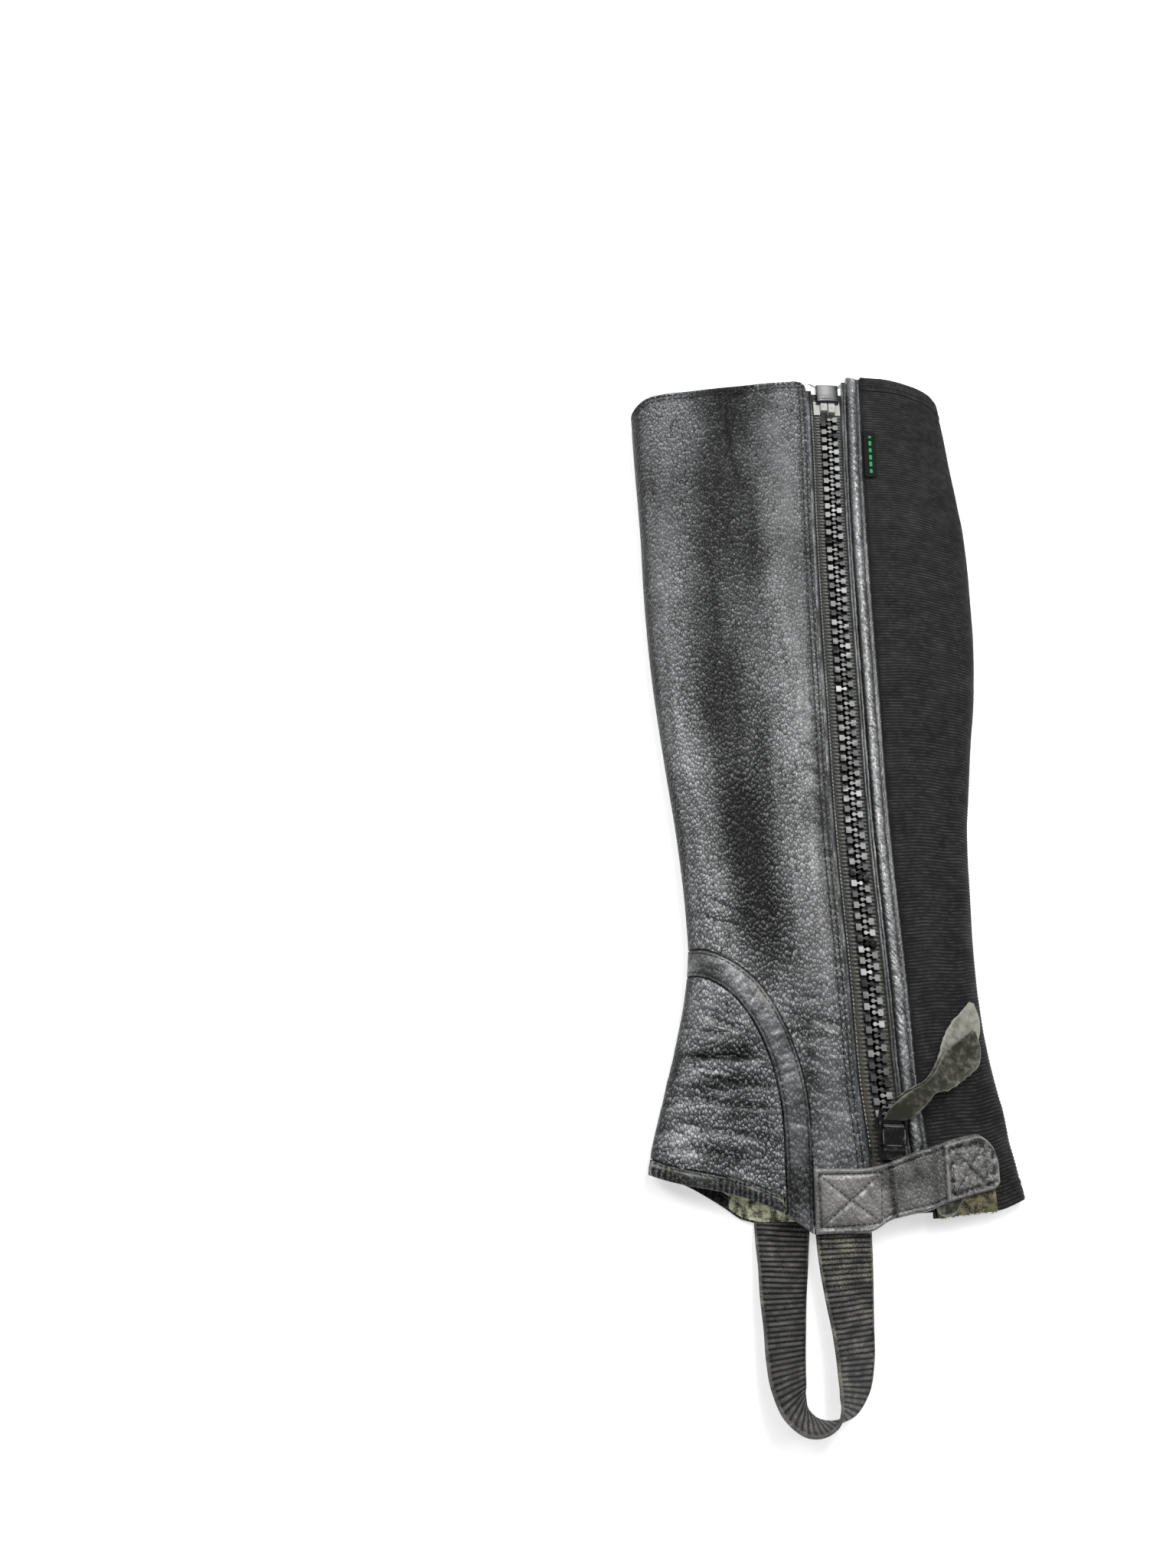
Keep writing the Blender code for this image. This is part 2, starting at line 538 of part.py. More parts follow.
def build_zip(tape_finish, tooth_finish, leather_finish, pin_finish):
    """Tapes, chain, retainer box and pins, and the leather strips on the zip's far side."""
    top, bottom = 254.0, -163.5
    under = -WALL - SEAM
    for name, left, right in (
            ("zip_tape_shin", LEATHER_EDGE - 8.0, -CHAIN_HALF_WIDTH - SEAM),
            ("zip_tape_calf", CHAIN_HALF_WIDTH + SEAM, ROLL_LEFT + 2.0)):
        phi, y = along_zip(bottom, top - 2.0, 26, left, right, 3)
        add_skin_panel(name, phi, y, under, under - TAPE_THICKNESS, tape_finish)

    chain_top = top - 16.0
    phi, y = along_zip(SLIDER_TOP_Y + 0.7, chain_top, 24, -CHAIN_HALF_WIDTH, CHAIN_HALF_WIDTH)
    add_skin_panel("zip_chain", phi, y, CHAIN_TOP, CHAIN_BOTTOM, tooth_finish)

    phi, y = along_zip(244.5, 256.0, 2, -6.2, 6.2, 4)
    crown = np.array([0.9, 1.5, 1.5, 0.9])[None, :]
    add_skin_panel("zip_box", phi, y, crown + 0.2, -1.9, tooth_finish)
    phi, y = along_zip(chain_top + SEAM, 244.2, 2, -3.9, 3.9)
    add_skin_panel("zip_pins", phi, y, 0.6, -3.6, pin_finish)

    # Folded facing, and the padded roll with its flange. Both reach the knee edge of the elastic.
    phi, y = along_zip(ZIP_EDGE_BOTTOM, 259.5, 26, FACING_LEFT, ROLL_LEFT - SEAM,
                       lean=1.0)
    add_skin_panel("zip_facing", phi, y, 0.0, -WALL, leather_finish)

    y = np.linspace(ZIP_EDGE_BOTTOM, 263.2, 27)[:, None]
    width = ROLL_RIGHT - ROLL_LEFT
    bead = np.linspace(0.0, math.pi, 6)
    offsets = np.concatenate([ROLL_LEFT + width * (1 - np.cos(bead)) / 2, [FLANGE_RIGHT]])
    rise = np.concatenate([2.3 * np.sin(bead), [0.0]])
    y_grid = y * np.ones((1, len(offsets)))
    ends = np.clip((y - (ZIP_EDGE_BOTTOM + 20.0)) / 8.0, 0.0, 1.0)
    phi = phi_at(zip_x(y_grid) + offsets[None, :] + flare(y_grid), y_grid)
    add_skin_panel("zip_binding_roll", phi, y_grid, rise[None, :] * (0.25 + 0.75 * ends), -WALL,
                   leather_finish)


def lift_under_strap(x, y):
    """How far out of the skin the strap's lower face lies, to pass over what is beneath it."""
    offset = x - zip_x(y)
    chain = 0.6 * np.exp(-(offset / 9.0) ** 2)
    roll = 1.4 * np.exp(-((offset - 12.5) / 5.0) ** 2)
    loops = LOOP_PATCH_TOP * np.clip((offset - 10.0) / 6.0, 0.0, 1.0)
    near_slider = np.clip((y + 168.0) / 9.0, 0.0, 1.0)
    slider = 3.4 * np.exp(-(offset / 8.5) ** 4) * near_slider ** 2 * (3.0 - 2.0 * near_slider)
    return SEAM + 0.1 + chain + roll + loops + slider


def build_strap(finish, fuzz_finish):
    """Ankle strap with its stitched end patch, and the loop patch that it fastens to."""
    rows = path(STRAP, "x top bottom", 24)
    shares = np.linspace(0.0, 1.0, 7)
    y = rows[:, 1][None, :] * (1 - shares[:, None]) + rows[:, 2][None, :] * shares[:, None]
    x = rows[:, 0][None, :] * np.ones_like(y)
    lift = lift_under_strap(x, y)
    phi = phi_at(x, y)
    add_skin_panel("ankle_strap", phi, y, lift + STRAP_THICKNESS, lift, finish)

    rows = path(STRAP, "x top bottom", 60)
    rows = rows[rows[:, 0] > STRAP_PATCH_START][::2]
    inset = 0.7
    top, bottom = rows[:, 1] - inset, rows[:, 2] + inset
    y = top[None, :] * (1 - shares[:, None]) + bottom[None, :] * shares[:, None]
    x = rows[:, 0][None, :] * np.ones_like(y)
    lift = lift_under_strap(x, y) + STRAP_THICKNESS + SEAM
    add_skin_panel("strap_end_patch", phi_at(x, y), y, lift + PATCH_THICKNESS, lift, finish)

    x_line = np.linspace(40.6, 69.0, 6)
    edge = smooth(ELASTIC_BOTTOM, "y", x_line, key="x") + 0.4
    strap_top = smooth(STRAP, "top", x_line, key="x") - 1.5
    shares = np.linspace(0.0, 1.0, 5)[:, None]
    y = edge[None, :] * (1 - shares) + strap_top[None, :] * shares
    x = x_line[None, :] * np.ones_like(y)
    add_skin_panel("loop_patch", phi_at(x, y), y, LOOP_PATCH_TOP, HEM_RAISE + SEAM, fuzz_finish)


def build_inner_patch(finish):
    """Worn lining patch inside the hidden side, over the root of the stirrup webbing."""
    x = np.array([-60.0, -53.0, -47.0, -42.0, -35.0, -25.0, -15.0])[None, :] * np.ones((3, 1))
    shares = np.linspace(0.0, 1.0, 3)[:, None]
    y = smooth(INNER_HEM, "y", x[0], key="x") + 1.2 + 17.0 * shares
    over_webbing = (WEBBING_THICKNESS + SEAM) * np.clip((x + 47.0) / 5.0, 0.0, 1.0)
    lift = -WALL - SEAM - over_webbing
    phi = phi_at(x, y, below=True)
    add_skin_panel("inner_patch", phi, y, lift, lift - 1.0, finish)


def build_label(finish):
    """Blank woven tag that stands out of the flange's seam, over the elastic."""
    y = np.linspace(196.5, 226.5, 4)[:, None] * np.ones((1, 3))
    offsets = np.array([FLANGE_RIGHT + 0.6, FLANGE_RIGHT + 4.0, FLANGE_RIGHT + 7.2])
    phi = phi_at(zip_x(y) + offsets[None, :] + flare(y), y)
    add_skin_panel("label", phi, y, SEAM + LABEL_THICKNESS, SEAM, finish)


# ---------------------------------------------------------------- strips in space
def strip_frames(centre, side):
    """Unit width directions, and unit normals of a strip that follows a middle line."""
    along = np.gradient(centre, axis=0)
    along /= np.linalg.norm(along, axis=1)[:, None]
    normal = np.cross(side, along)
    return normal / np.linalg.norm(normal, axis=1)[:, None]


def build_webbing(finish):
    """Stirrup loop of ribbed webbing, rolled on its edge where it turns under the foot."""
    coarse = path(STIRRUP, "x y z roll", 60)
    length = np.linalg.norm(np.diff(coarse[:, :2], axis=0), axis=1).sum()
    ribs = int(round(length / RIB_PITCH))
    line = path(STIRRUP, "x y z roll", 2 * ribs + 1)
    centre, roll = line[:, :3], np.radians(line[:, 3])
    along = np.gradient(centre[:, :2], axis=0)
    along /= np.linalg.norm(along, axis=1)[:, None]
    level = np.stack([along[:, 1], -along[:, 0], np.zeros(len(along))], axis=1)
    upright = np.array([0.0, 0.0, 1.0])
    side = np.cos(roll)[:, None] * level + np.sin(roll)[:, None] * upright
    normal = strip_frames(centre, side)
    half = WEBBING_THICKNESS / 2.0 - RIB_DEPTH * (np.arange(len(line)) % 2)
    across = np.array([-0.5, 0.5]) * WEBBING_WIDTH
    base = centre[:, None, :] + across[None, :, None] * side[:, None, :]
    offset = half[:, None, None] * normal[:, None, :]
    add_wall("stirrup_webbing", base + offset, base - offset, finish)


def build_thong(finish):
    """Two tails of the thong that is tied through the pull."""
    for name, rows in (("thong_back", THONG_BACK), ("thong_front", THONG_FRONT)):
        line = path(rows, "x y lift wx wy wz", 21)
        x, y = line[:, 0], line[:, 1]
        centre, side = skin(phi_at(x, y), y), line[:, 3:]
        centre[:, 2] += line[:, 2]
        normal = strip_frames(centre, side)
        across = np.linspace(-1.0, 1.0, 4)
        base = centre[:, None, :] + across[None, :, None] * side[:, None, :]
        offset = THONG_THICKNESS / 2.0 * normal[:, None, :]
        add_wall(name, base + offset, base - offset, finish, pull_pivot())


# ---------------------------------------------------------------- slider and pull
def slider_frame():
    """Origin on the skin under the pull's pivot, and unit directions across, along and out."""
    foot = skin(phi_at(zip_x(PIVOT_Y), PIVOT_Y), PIVOT_Y)
    head = skin(phi_at(zip_x(SLIDER_TOP_Y), SLIDER_TOP_Y), SLIDER_TOP_Y)
    beside = skin(phi_at(zip_x(PIVOT_Y) + 1.0, PIVOT_Y), PIVOT_Y)
    along = (head - foot) / np.linalg.norm(head - foot)
    out = np.cross(beside - foot, along)
    out /= np.linalg.norm(out)
    return foot, np.cross(along, out), along, out


def placed(points, swing=0.0):
    """World points from places across, along and out of the leg at the pivot, swung about it."""
    foot, across, along, out = slider_frame()
    swing = swing + SLIDER_TURN
    across, along = (across * math.cos(swing) + along * math.sin(swing),
                     along * math.cos(swing) - across * math.sin(swing))
    points = np.asarray(points, dtype=float)
    return foot + points[..., :1] * across + points[..., 1:2] * along + points[..., 2:] * out


def pull_pivot():
    """Middle of the bar that the pull turns on."""
    return placed([0.0, 0.0, SLIDER_PLATE_TOP + PIVOT_HEIGHT])


def add_swept(name, rings, finish, origin=(0.0, 0.0, 0.0)):
    """Closed solid through a row of rings of points, with its two ends filled."""
    count, sides = len(rings), len(rings[0])
    faces = [list(range(sides)), list(range((count - 1) * sides, count * sides))]
    for i in range(count - 1):
        for j in range(sides):
            k = (j + 1) % sides
            faces.append([i * sides + j, i * sides + k, (i + 1) * sides + k, (i + 1) * sides + j])
    return add_object(name, np.concatenate(rings), faces, finish, origin)


def join_with(target, other, operation):
    """Boolean of a target with another object, which is kept out of the build."""
    change = target.modifiers.new(operation.lower(), "BOOLEAN")
    change.object = other
    change.operation = operation
    other.hide_render = True
    other.display_type = "WIRE"


def add_block(name, profile, half_width, finish, swing=0.0, origin=(0.0, 0.0, 0.0)):
    """Solid with one profile along and out of the leg, carried across it."""
    rings = [placed([(u, v, n) for v, n in profile], swing) for u in (-half_width, half_width)]
    return add_swept(name, rings, finish, origin)


def build_slider(finish):
    """Slider: two plates on a middle post, open at the sides for the tapes, and a wide bridge."""
    first, last = SLIDER_BOTTOM_Y - PIVOT_Y, SLIDER_TOP_Y - PIVOT_Y
    stations = [(first, SLIDER_WAIST - 0.8), (first + 1.0, SLIDER_WAIST), (last - 6.5, SLIDER_WAIST),
                (last - 5.0, SLIDER_HALF_WIDTH), (last - 1.2, SLIDER_HALF_WIDTH),
                (last, SLIDER_HALF_WIDTH - 1.4)]
    low, shelf = SLIDER_PLATE_BOTTOM, SLIDER_PLATE_BOTTOM + 1.6
    face = SLIDER_PLATE_TOP
    rings = []
    for v, half in stations:
        section = [(-half, low), (half, low), (half, shelf), (SLIDER_POST, shelf),
                   (SLIDER_POST, SLIDER_PLATE_UNDER), (half, SLIDER_PLATE_UNDER), (half, face - 0.7),
                   (half - 0.9, face), (-half + 0.9, face), (-half, face - 0.7),
                   (-half, SLIDER_PLATE_UNDER), (-SLIDER_POST, SLIDER_PLATE_UNDER),
                   (-SLIDER_POST, shelf), (-half, shelf)]
        rings.append(placed([(u, v, n) for u, n in section]))
    body = add_swept("slider_body", rings, finish)

    foot, top = face - 0.3, face + BRIDGE_HEIGHT
    bridge = [(BRIDGE_START, foot), (BRIDGE_START, top - 1.2), (BRIDGE_START + 1.1, top - 0.2),
              (BRIDGE_START + 2.6, top), (BRIDGE_END - 1.6, top), (BRIDGE_END - 0.4, top - 0.6),
              (BRIDGE_END, top - 1.8), (BRIDGE_END, foot)]
    join_with(body, add_block("bridge", bridge, BRIDGE_HALF_WIDTH, finish), "UNION")
    tunnel = [(-TUNNEL_HALF, face), (-TUNNEL_HALF, face + TUNNEL_HEIGHT),
              (TUNNEL_HALF, face + TUNNEL_HEIGHT), (TUNNEL_HALF, face)]
    join_with(body, add_block("tunnel", tunnel, BRIDGE_HALF_WIDTH + 1.0, finish), "DIFFERENCE")


def build_pull(finish):
    """Pull: a flat frame round the bridge, on a bar under it. The thong hangs on its far bar."""
    half, thick = PULL_HALF_WIDTH, PULL_THICKNESS / 2.0
    axis = SLIDER_PLATE_TOP + PIVOT_HEIGHT
    corner = 1.6
    low, high = -PULL_BAR, PULL_LENGTH - PULL_BAR
    outline = [(-half + 0.6, low), (half - 0.6, low), (half, low + 1.0), (half, high - corner),
               (half - corner, high), (-half + corner, high), (-half, high - corner),
               (-half, low + 1.0)]
    rings = [placed([(u, v, axis + n) for u, v in outline], PULL_SWING) for n in (-thick, thick)]
    pull = add_swept("zip_pull_plate", rings, finish, pull_pivot())
    opening = [(PULL_BAR, axis - 3.0), (PULL_BAR, axis + 3.0), (high - PULL_END_BAR, axis + 3.0),
               (high - PULL_END_BAR, axis - 3.0)]
    join_with(pull, add_block("pull_opening", opening, half - PULL_RAIL, finish, PULL_SWING),
              "DIFFERENCE")


# ---------------------------------------------------------------- the half chap
def main():
    """Build every piece of the half chap."""
    for old in list(bpy.data.objects):
        bpy.data.objects.remove(old, do_unlink=True)
    leather = material("black_leather", (0.045, 0.046, 0.052), 0.5)
    elastic = material("ribbed_elastic", (0.018, 0.017, 0.016), 0.9)
    webbing = material("ribbed_webbing", (0.05, 0.045, 0.038), 0.85)
    tape = material("zip_tape", (0.035, 0.036, 0.03), 0.85)
    moulded = material("moulded_zip", (0.012, 0.012, 0.013), 0.3)
    clear = material("zip_pin_plastic", (0.45, 0.46, 0.44), 0.4)
    enamel = material("enamelled_slider", (0.01, 0.01, 0.011), 0.25, 0.6)
    suede = material("lace_leather", (0.2, 0.2, 0.17), 0.95)
    fuzz = material("loop_fabric", (0.22, 0.21, 0.12), 1.0)
    tag = material("woven_tag", (0.01, 0.012, 0.011), 0.8)

    build_leather(leather)
    build_elastic(elastic)
    build_zip(tape, moulded, leather, clear)
    build_strap(leather, fuzz)
    build_inner_patch(fuzz)
    build_webbing(webbing)
    build_label(tag)
    build_slider(enamel)
    build_pull(enamel)
    build_thong(suede)


main()
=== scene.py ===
"""One half chap, laid flat with its zip up: leather, ribbed elastic, zip, webbing and stitching.

Points are worked out in millimetres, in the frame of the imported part, and become metres when a
mesh is made. The leg is a flattened tube. A place on its skin is a section angle (0 at the shin
fold, pi at the calf fold, negative on the side it lies on) and a height y along the leg.
"""
import json
import logging
import math
from dataclasses import dataclass
from enum import Enum

import bmesh
import bpy
import numpy as np
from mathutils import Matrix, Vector

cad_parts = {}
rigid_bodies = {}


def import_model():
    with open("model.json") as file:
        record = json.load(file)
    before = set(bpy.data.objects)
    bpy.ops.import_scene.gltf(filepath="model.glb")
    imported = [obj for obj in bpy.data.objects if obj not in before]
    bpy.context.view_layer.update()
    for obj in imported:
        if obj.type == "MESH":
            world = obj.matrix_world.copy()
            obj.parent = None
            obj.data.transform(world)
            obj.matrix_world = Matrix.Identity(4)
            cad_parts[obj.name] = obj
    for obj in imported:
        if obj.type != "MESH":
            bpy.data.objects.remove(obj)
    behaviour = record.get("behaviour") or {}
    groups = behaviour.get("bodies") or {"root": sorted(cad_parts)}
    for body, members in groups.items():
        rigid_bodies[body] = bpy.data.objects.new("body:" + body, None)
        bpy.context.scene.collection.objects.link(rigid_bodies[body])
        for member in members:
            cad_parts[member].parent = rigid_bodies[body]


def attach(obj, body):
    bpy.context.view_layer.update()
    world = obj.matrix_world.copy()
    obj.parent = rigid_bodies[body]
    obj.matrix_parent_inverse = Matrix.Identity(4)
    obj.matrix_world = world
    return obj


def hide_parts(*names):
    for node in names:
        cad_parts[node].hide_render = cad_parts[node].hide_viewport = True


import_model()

LOG = logging.getLogger("half_chap")
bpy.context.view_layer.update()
MM = 0.001
Array = np.ndarray
Colour = tuple[float, float, float, float]
Piece = bpy.types.Object
Finish = bpy.types.Material
Marks = dict[str, Array]


# ---- tables, noise and the leg
def run_along(points: Array) -> Array:
    """Length run along a line of points, from 0 at the first."""
    return np.append(0.0, np.cumsum(np.linalg.norm(np.diff(points, axis=0), axis=1)))


def unit(vectors: Array) -> Array:
    """Vectors brought to length 1."""
    return vectors / np.linalg.norm(vectors, axis=-1, keepdims=True)


class Knots:
    """Short table with named columns, read as smooth curves through its rows."""

    def __init__(self, columns: str, rows: list[tuple[float, ...]]) -> None:
        """Args: columns: names, spaced. rows: one tuple of numbers for each knot."""
        values = np.array(rows, dtype=float)
        self.column = {name: values[:, i] for i, name in enumerate(columns.split())}

    def at(self, name: str, where: Array, key: str = "y") -> Array:
        """Cubic Hermite curve through one column, its slopes taken from the neighbouring knots.

        Args:
            name: column that is read.
            where: values of the key column to read it at.
            key: column that the curve runs along.
        Returns:
            The column's value at each place.
        """
        order = np.argsort(self.column[key])
        knots, values = self.column[key][order], self.column[name][order]
        slopes = np.gradient(values, knots)
        where = np.clip(np.asarray(where, dtype=float), knots[0], knots[-1])
        i = np.clip(np.searchsorted(knots, where) - 1, 0, len(knots) - 2)
        step = knots[i + 1] - knots[i]
        t = (where - knots[i]) / step
        return (values[i] * (1 + 2 * t) * (1 - t) ** 2 + step * slopes[i] * t * (1 - t) ** 2
                + values[i + 1] * t ** 2 * (3 - 2 * t) + step * slopes[i + 1] * t ** 2 * (t - 1))

    def path(self, names: str, count: int, crowding: float = 1.0) -> Array:
        """Points along a smooth curve, at equal steps of length to the power of crowding.

        Args:
            names: columns of each point, spaced; the first two measure the length.
            count: number of points.
            crowding: above 1, points crowd at the start.
        Returns:
            Array of count rows, one column for each name.
        """
        columns = names.split()
        points = np.stack([self.column[name] for name in columns], axis=1)
        along = run_along(points[:, :2])
        table = Knots("s " + names, list(map(tuple, np.column_stack([along, points]))))
        at = along[-1] * np.linspace(0.0, 1.0, count) ** crowding
        return np.stack([table.at(name, at, key="s") for name in columns], axis=1)

    def blobs(self, x: Array, y: Array) -> Array:
        """Sum of turned soft spots, each its amount times exp(-(across/reach)^2 - (along/reach)^2).

        Args: x, y: places to read it at.
        Returns: the sum there.
        """
        total = np.zeros(np.broadcast(x, y).shape)
        for cx, cy, rx, ry, turn, amount in zip(*self.column.values()):
            c, s = math.cos(math.radians(turn)), math.sin(math.radians(turn))
            u, v = x - cx, y - cy
            total = total + amount * np.exp(-((u * c - v * s) / rx) ** 2 - ((u * s + v * c) / ry) ** 2)
        return total

    def creases(self, x: Array, y: Array) -> Array:
        """Sum of straight creases, each its depth times exp(-(distance/width)^2), dying at its ends.

        Args: x, y: places to read it at.
        Returns: the sum there.
        """
        total = np.zeros(np.broadcast(x, y).shape)
        for x0, y0, x1, y1, width, depth in zip(*self.column.values()):
            dx, dy = x1 - x0, y1 - y0
            span = dx * dx + dy * dy
            t = np.clip(((x - x0) * dx + (y - y0) * dy) / span, 0.0, 1.0)
            gap = np.hypot(x - x0 - t * dx, y - y0 - t * dy + 0.7 * np.sin(3.0 * t))
            total = total + depth * np.exp(-(gap / width) ** 2) * (4.0 * t * (1.0 - t)) ** 0.4
        return total


class Noise:
    """Smooth noise on a repeating square lattice of seeded values, from -1 to 1."""

    def __init__(self, seed: int, size: int = 97) -> None:
        """Args: seed: makes the lattice. size: its period in cells."""
        self.size = size
        self.lattice = np.random.default_rng(seed).uniform(-1.0, 1.0, (size, size))

    def __call__(self, u: Array, v: Array, octaves: int = 1) -> Array:
        """Values blended between lattice points by 3t^2 - 2t^3, each octave half as high and wide.

        Args: u, v: places in cells. octaves: how many are added.
        Returns: the values.
        """
        total, gain = 0.0, 1.0
        for k in range(octaves):
            a, b = u * 2.0 ** k + 11.3 * k, v * 2.0 ** k + 5.7 * k
            i, j = np.floor(a).astype(int), np.floor(b).astype(int)
            s, t = a - i, b - j
            s, t = s * s * (3 - 2 * s), t * t * (3 - 2 * t)
            grid, n = self.lattice, self.size
            low = grid[i % n, j % n] * (1 - s) + grid[(i + 1) % n, j % n] * s
            high = grid[i % n, (j + 1) % n] * (1 - s) + grid[(i + 1) % n, (j + 1) % n] * s
            total = total + gain * (low * (1 - t) + high * t)
            gain *= 0.5
        return total


def ease(value: Array, low: float, high: float) -> Array:
    """0 below low, 1 above high, and 3t^2 - 2t^3 between."""
    t = np.clip((value - low) / (high - low), 0.0, 1.0)
    return t * t * (3.0 - 2.0 * t)


def bell(value: Array, width: float) -> Array:
    """exp(-(value / width)^2)."""
    return np.exp(-(value / width) ** 2)


def between(first: Array, last: Array, shares: Array) -> Array:
    """Rows of values from one rail to another, at the given shares of the way."""
    return first[None, :] * (1.0 - shares[:, None]) + last[None, :] * shares[:, None]


def edged(count: int, *steps: float) -> Array:
    """Shares from 0 to 1, even but for a few small steps at both ends, which turn the edges."""
    small = np.array([0.0, *steps])
    return np.concatenate([small, np.linspace(steps[-1] * 1.8, 1 - steps[-1] * 1.8, count), 1 - small[::-1]])


class Leg:
    """The flattened tube that every cloth piece is cut from."""

    outline = Knots("y shin calf thickness", [
        (270, -93, 82, 0.88), (245, -91.5, 85, 0.92), (215, -90, 87.5, 0.96),
        (170, -87.3, 91, 1.00), (120, -85.3, 90.4, 1.00), (75, -81.7, 86.6, 1.00),
        (35, -76.8, 80.2, 1.00), (-5, -71.5, 74.8, 1.00), (-45, -67.9, 73, 1.00),
        (-65, -67.4, 72.3, 0.98), (-82, -69.6, 72.3, 0.96), (-100, -73.3, 73.6, 0.93),
        (-116, -77.4, 75.5, 0.89), (-133, -81.8, 78.2, 0.84), (-150, -86.2, 80.6, 0.78),
        (-166, -88.4, 83.4, 0.72), (-192, -91, 86, 0.64)])
    thickness = Knots("across height", [
        (0.00, 25), (0.10, 27.5), (0.22, 28), (0.40, 26), (0.55, 25), (0.68, 23.5),
        (0.80, 19), (0.90, 14.5), (1.00, 11)])
    zip_line = Knots("y x", [
        (270, 18.2), (232, 17.7), (160, 15.6), (72, 14.8), (-9, 14.7), (-82, 17), (-124, 18.4),
        (-154, 21.3), (-192, 21.6)])
    shin_radius, calf_radius = 13.0, 7.0

    def section(self, phi: Array, y: Array) -> tuple[Array, Array]:
        """X and Z of the skin: half the local thickness up and down, rounded at both folds.

        Args:
            phi: section angle.
            y: height along the leg.
        Returns:
            X and Z.
        """
        shin, calf = self.outline.at("shin", y), self.outline.at("calf", y)
        width, across = calf - shin, (1.0 - np.cos(phi)) / 2.0
        height = self.thickness.at("height", across, "across") * self.outline.at("thickness", y)
        turned = 1.0
        for share, radius in ((across, self.shin_radius), (1.0 - across, self.calf_radius)):
            turned = turned * np.sqrt(1.0 - (1.0 - np.clip(share * width / radius, 0.0, 1.0)) ** 2)
        return shin + across * width, height / 2.0 * (1.0 + np.sign(np.sin(phi)) * turned)

    def skin(self, phi: Array, y: Array, lift: Array = 0.0) -> Array:
        """Points of the skin moved out by lift, along the normal of the section there.

        Args: phi: section angle. y: height along the leg. lift: distance out of the skin.
        Returns: the points.
        """
        phi, y, lift = np.broadcast_arrays(*(np.asarray(v, dtype=float) for v in (phi, y, lift)))
        x, z = self.section(phi, y)
        (x0, z0), (x1, z1) = self.section(phi - 0.004, y), self.section(phi + 0.004, y)
        run, rise = x1 - x0, z1 - z0
        length = np.hypot(run, rise)
        return np.stack([x - rise / length * lift, y, z + run / length * lift], axis=-1)

    def phi(self, x: Array, y: Array) -> Array:
        """Section angle of the upper skin over a place x."""
        shin, calf = self.outline.at("shin", y), self.outline.at("calf", y)
        return np.arccos(1.0 - 2.0 * np.clip((x - shin) / (calf - shin), 0.0, 1.0))

    def zip_x(self, y: Array) -> Array:
        """Middle of the zip chain."""
        return self.zip_line.at("x", y)

    def flare(self, y: Array) -> Array:
        """How much further out the strips beside the zip stand near the knee."""
        return 2.2 * np.clip((np.asarray(y) - 190.0) / 75.0, 0.0, 1.0) ** 2

    def shown(self, phi: Array) -> Array:
        """1 on the upper side and 0 on the side that rests flat, eased over each fold."""
        return np.clip(np.sin(phi) * 4.0 + 0.2, 0.0, 1.0)

    def beside_zip(self, rows: Array, offsets: Array, lean: float = 0.0) -> tuple[Array, Array, Array]:
        """Grid on the upper skin along the zip.

        Args:
            rows: heights.
            offsets: distances from the middle of the chain.
            lean: share of the flare that the grid follows.
        Returns:
            Section angles, heights and offsets.
        """
        off, y = np.meshgrid(offsets, rows)
        return self.phi(self.zip_x(y) + off + lean * self.flare(y), y), y, off


LEG = Leg()
WAVE, WRINKLE, TREMOR = Noise(3), Noise(17), Noise(29)
LEATHER_EDGE = -11.5  # the leg panel's rim, from the middle of the chain
FLANGE_EDGE = 17.9  # the roll's flange, where the elastic starts
UNDERLAP = 24.0  # from the calf fold to the seam on the hidden side
STITCH_ROWS = (1.9, 4.2)  # the leg panel's two rows of topstitching, from its rim


# ---- meshes
def add_mesh(name: str, points: Array, faces: Array | list, finish: Finish, uv: Array | None = None,
             marks: Marks | None = None, sharp: float = 50.0) -> Piece:
    """Mesh object at the origin, its faces turned outwards.

    Args:
        name: piece's name.
        points: places in millimetres, any shape ending in 3.
        faces: corner numbers of each face.
        finish: its material.
        uv: pattern coordinates in metres for each point.
        marks: named values for each point, which the finish reads.
        sharp: edges that turn more than this many degrees stay sharp.
    Returns:
        The new object.
    """
    mesh = bpy.data.meshes.new(name)
    points = np.asarray(points, dtype=float).reshape(-1, 3)
    mesh.from_pydata(points * MM, [], faces if isinstance(faces, list) else faces.tolist())
    if uv is not None:
        corner = np.empty(len(mesh.loops), dtype=np.int32)
        mesh.loops.foreach_get("vertex_index", corner)
        layer = mesh.uv_layers.new(name="cloth")
        layer.data.foreach_set("uv", uv.reshape(-1, 2)[corner].astype(np.float32).ravel())
    for mark, values in (marks or {}).items():
        layer = mesh.attributes.new(mark, "FLOAT", "POINT")
        layer.data.foreach_set("value", np.asarray(values, dtype=np.float32).ravel())
    shape = bmesh.new()
    shape.from_mesh(mesh)
    bmesh.ops.recalc_face_normals(shape, faces=shape.faces)
    shape.to_mesh(mesh)
    shape.free()
    mesh.shade_smooth()
    mesh.set_sharp_from_angle(angle=math.radians(sharp))
    mesh.materials.append(finish)
    made = bpy.data.objects.new(name, mesh)
    bpy.context.scene.collection.objects.link(made)
    return made


def grid_faces(rows: int, columns: int) -> Array:
    """Quads of a grid of points, numbered row by row."""
    first = (np.arange(rows - 1)[:, None] * columns + np.arange(columns - 1)[None, :]).ravel()
    return np.stack([first, first + 1, first + columns + 1, first + columns], axis=1)


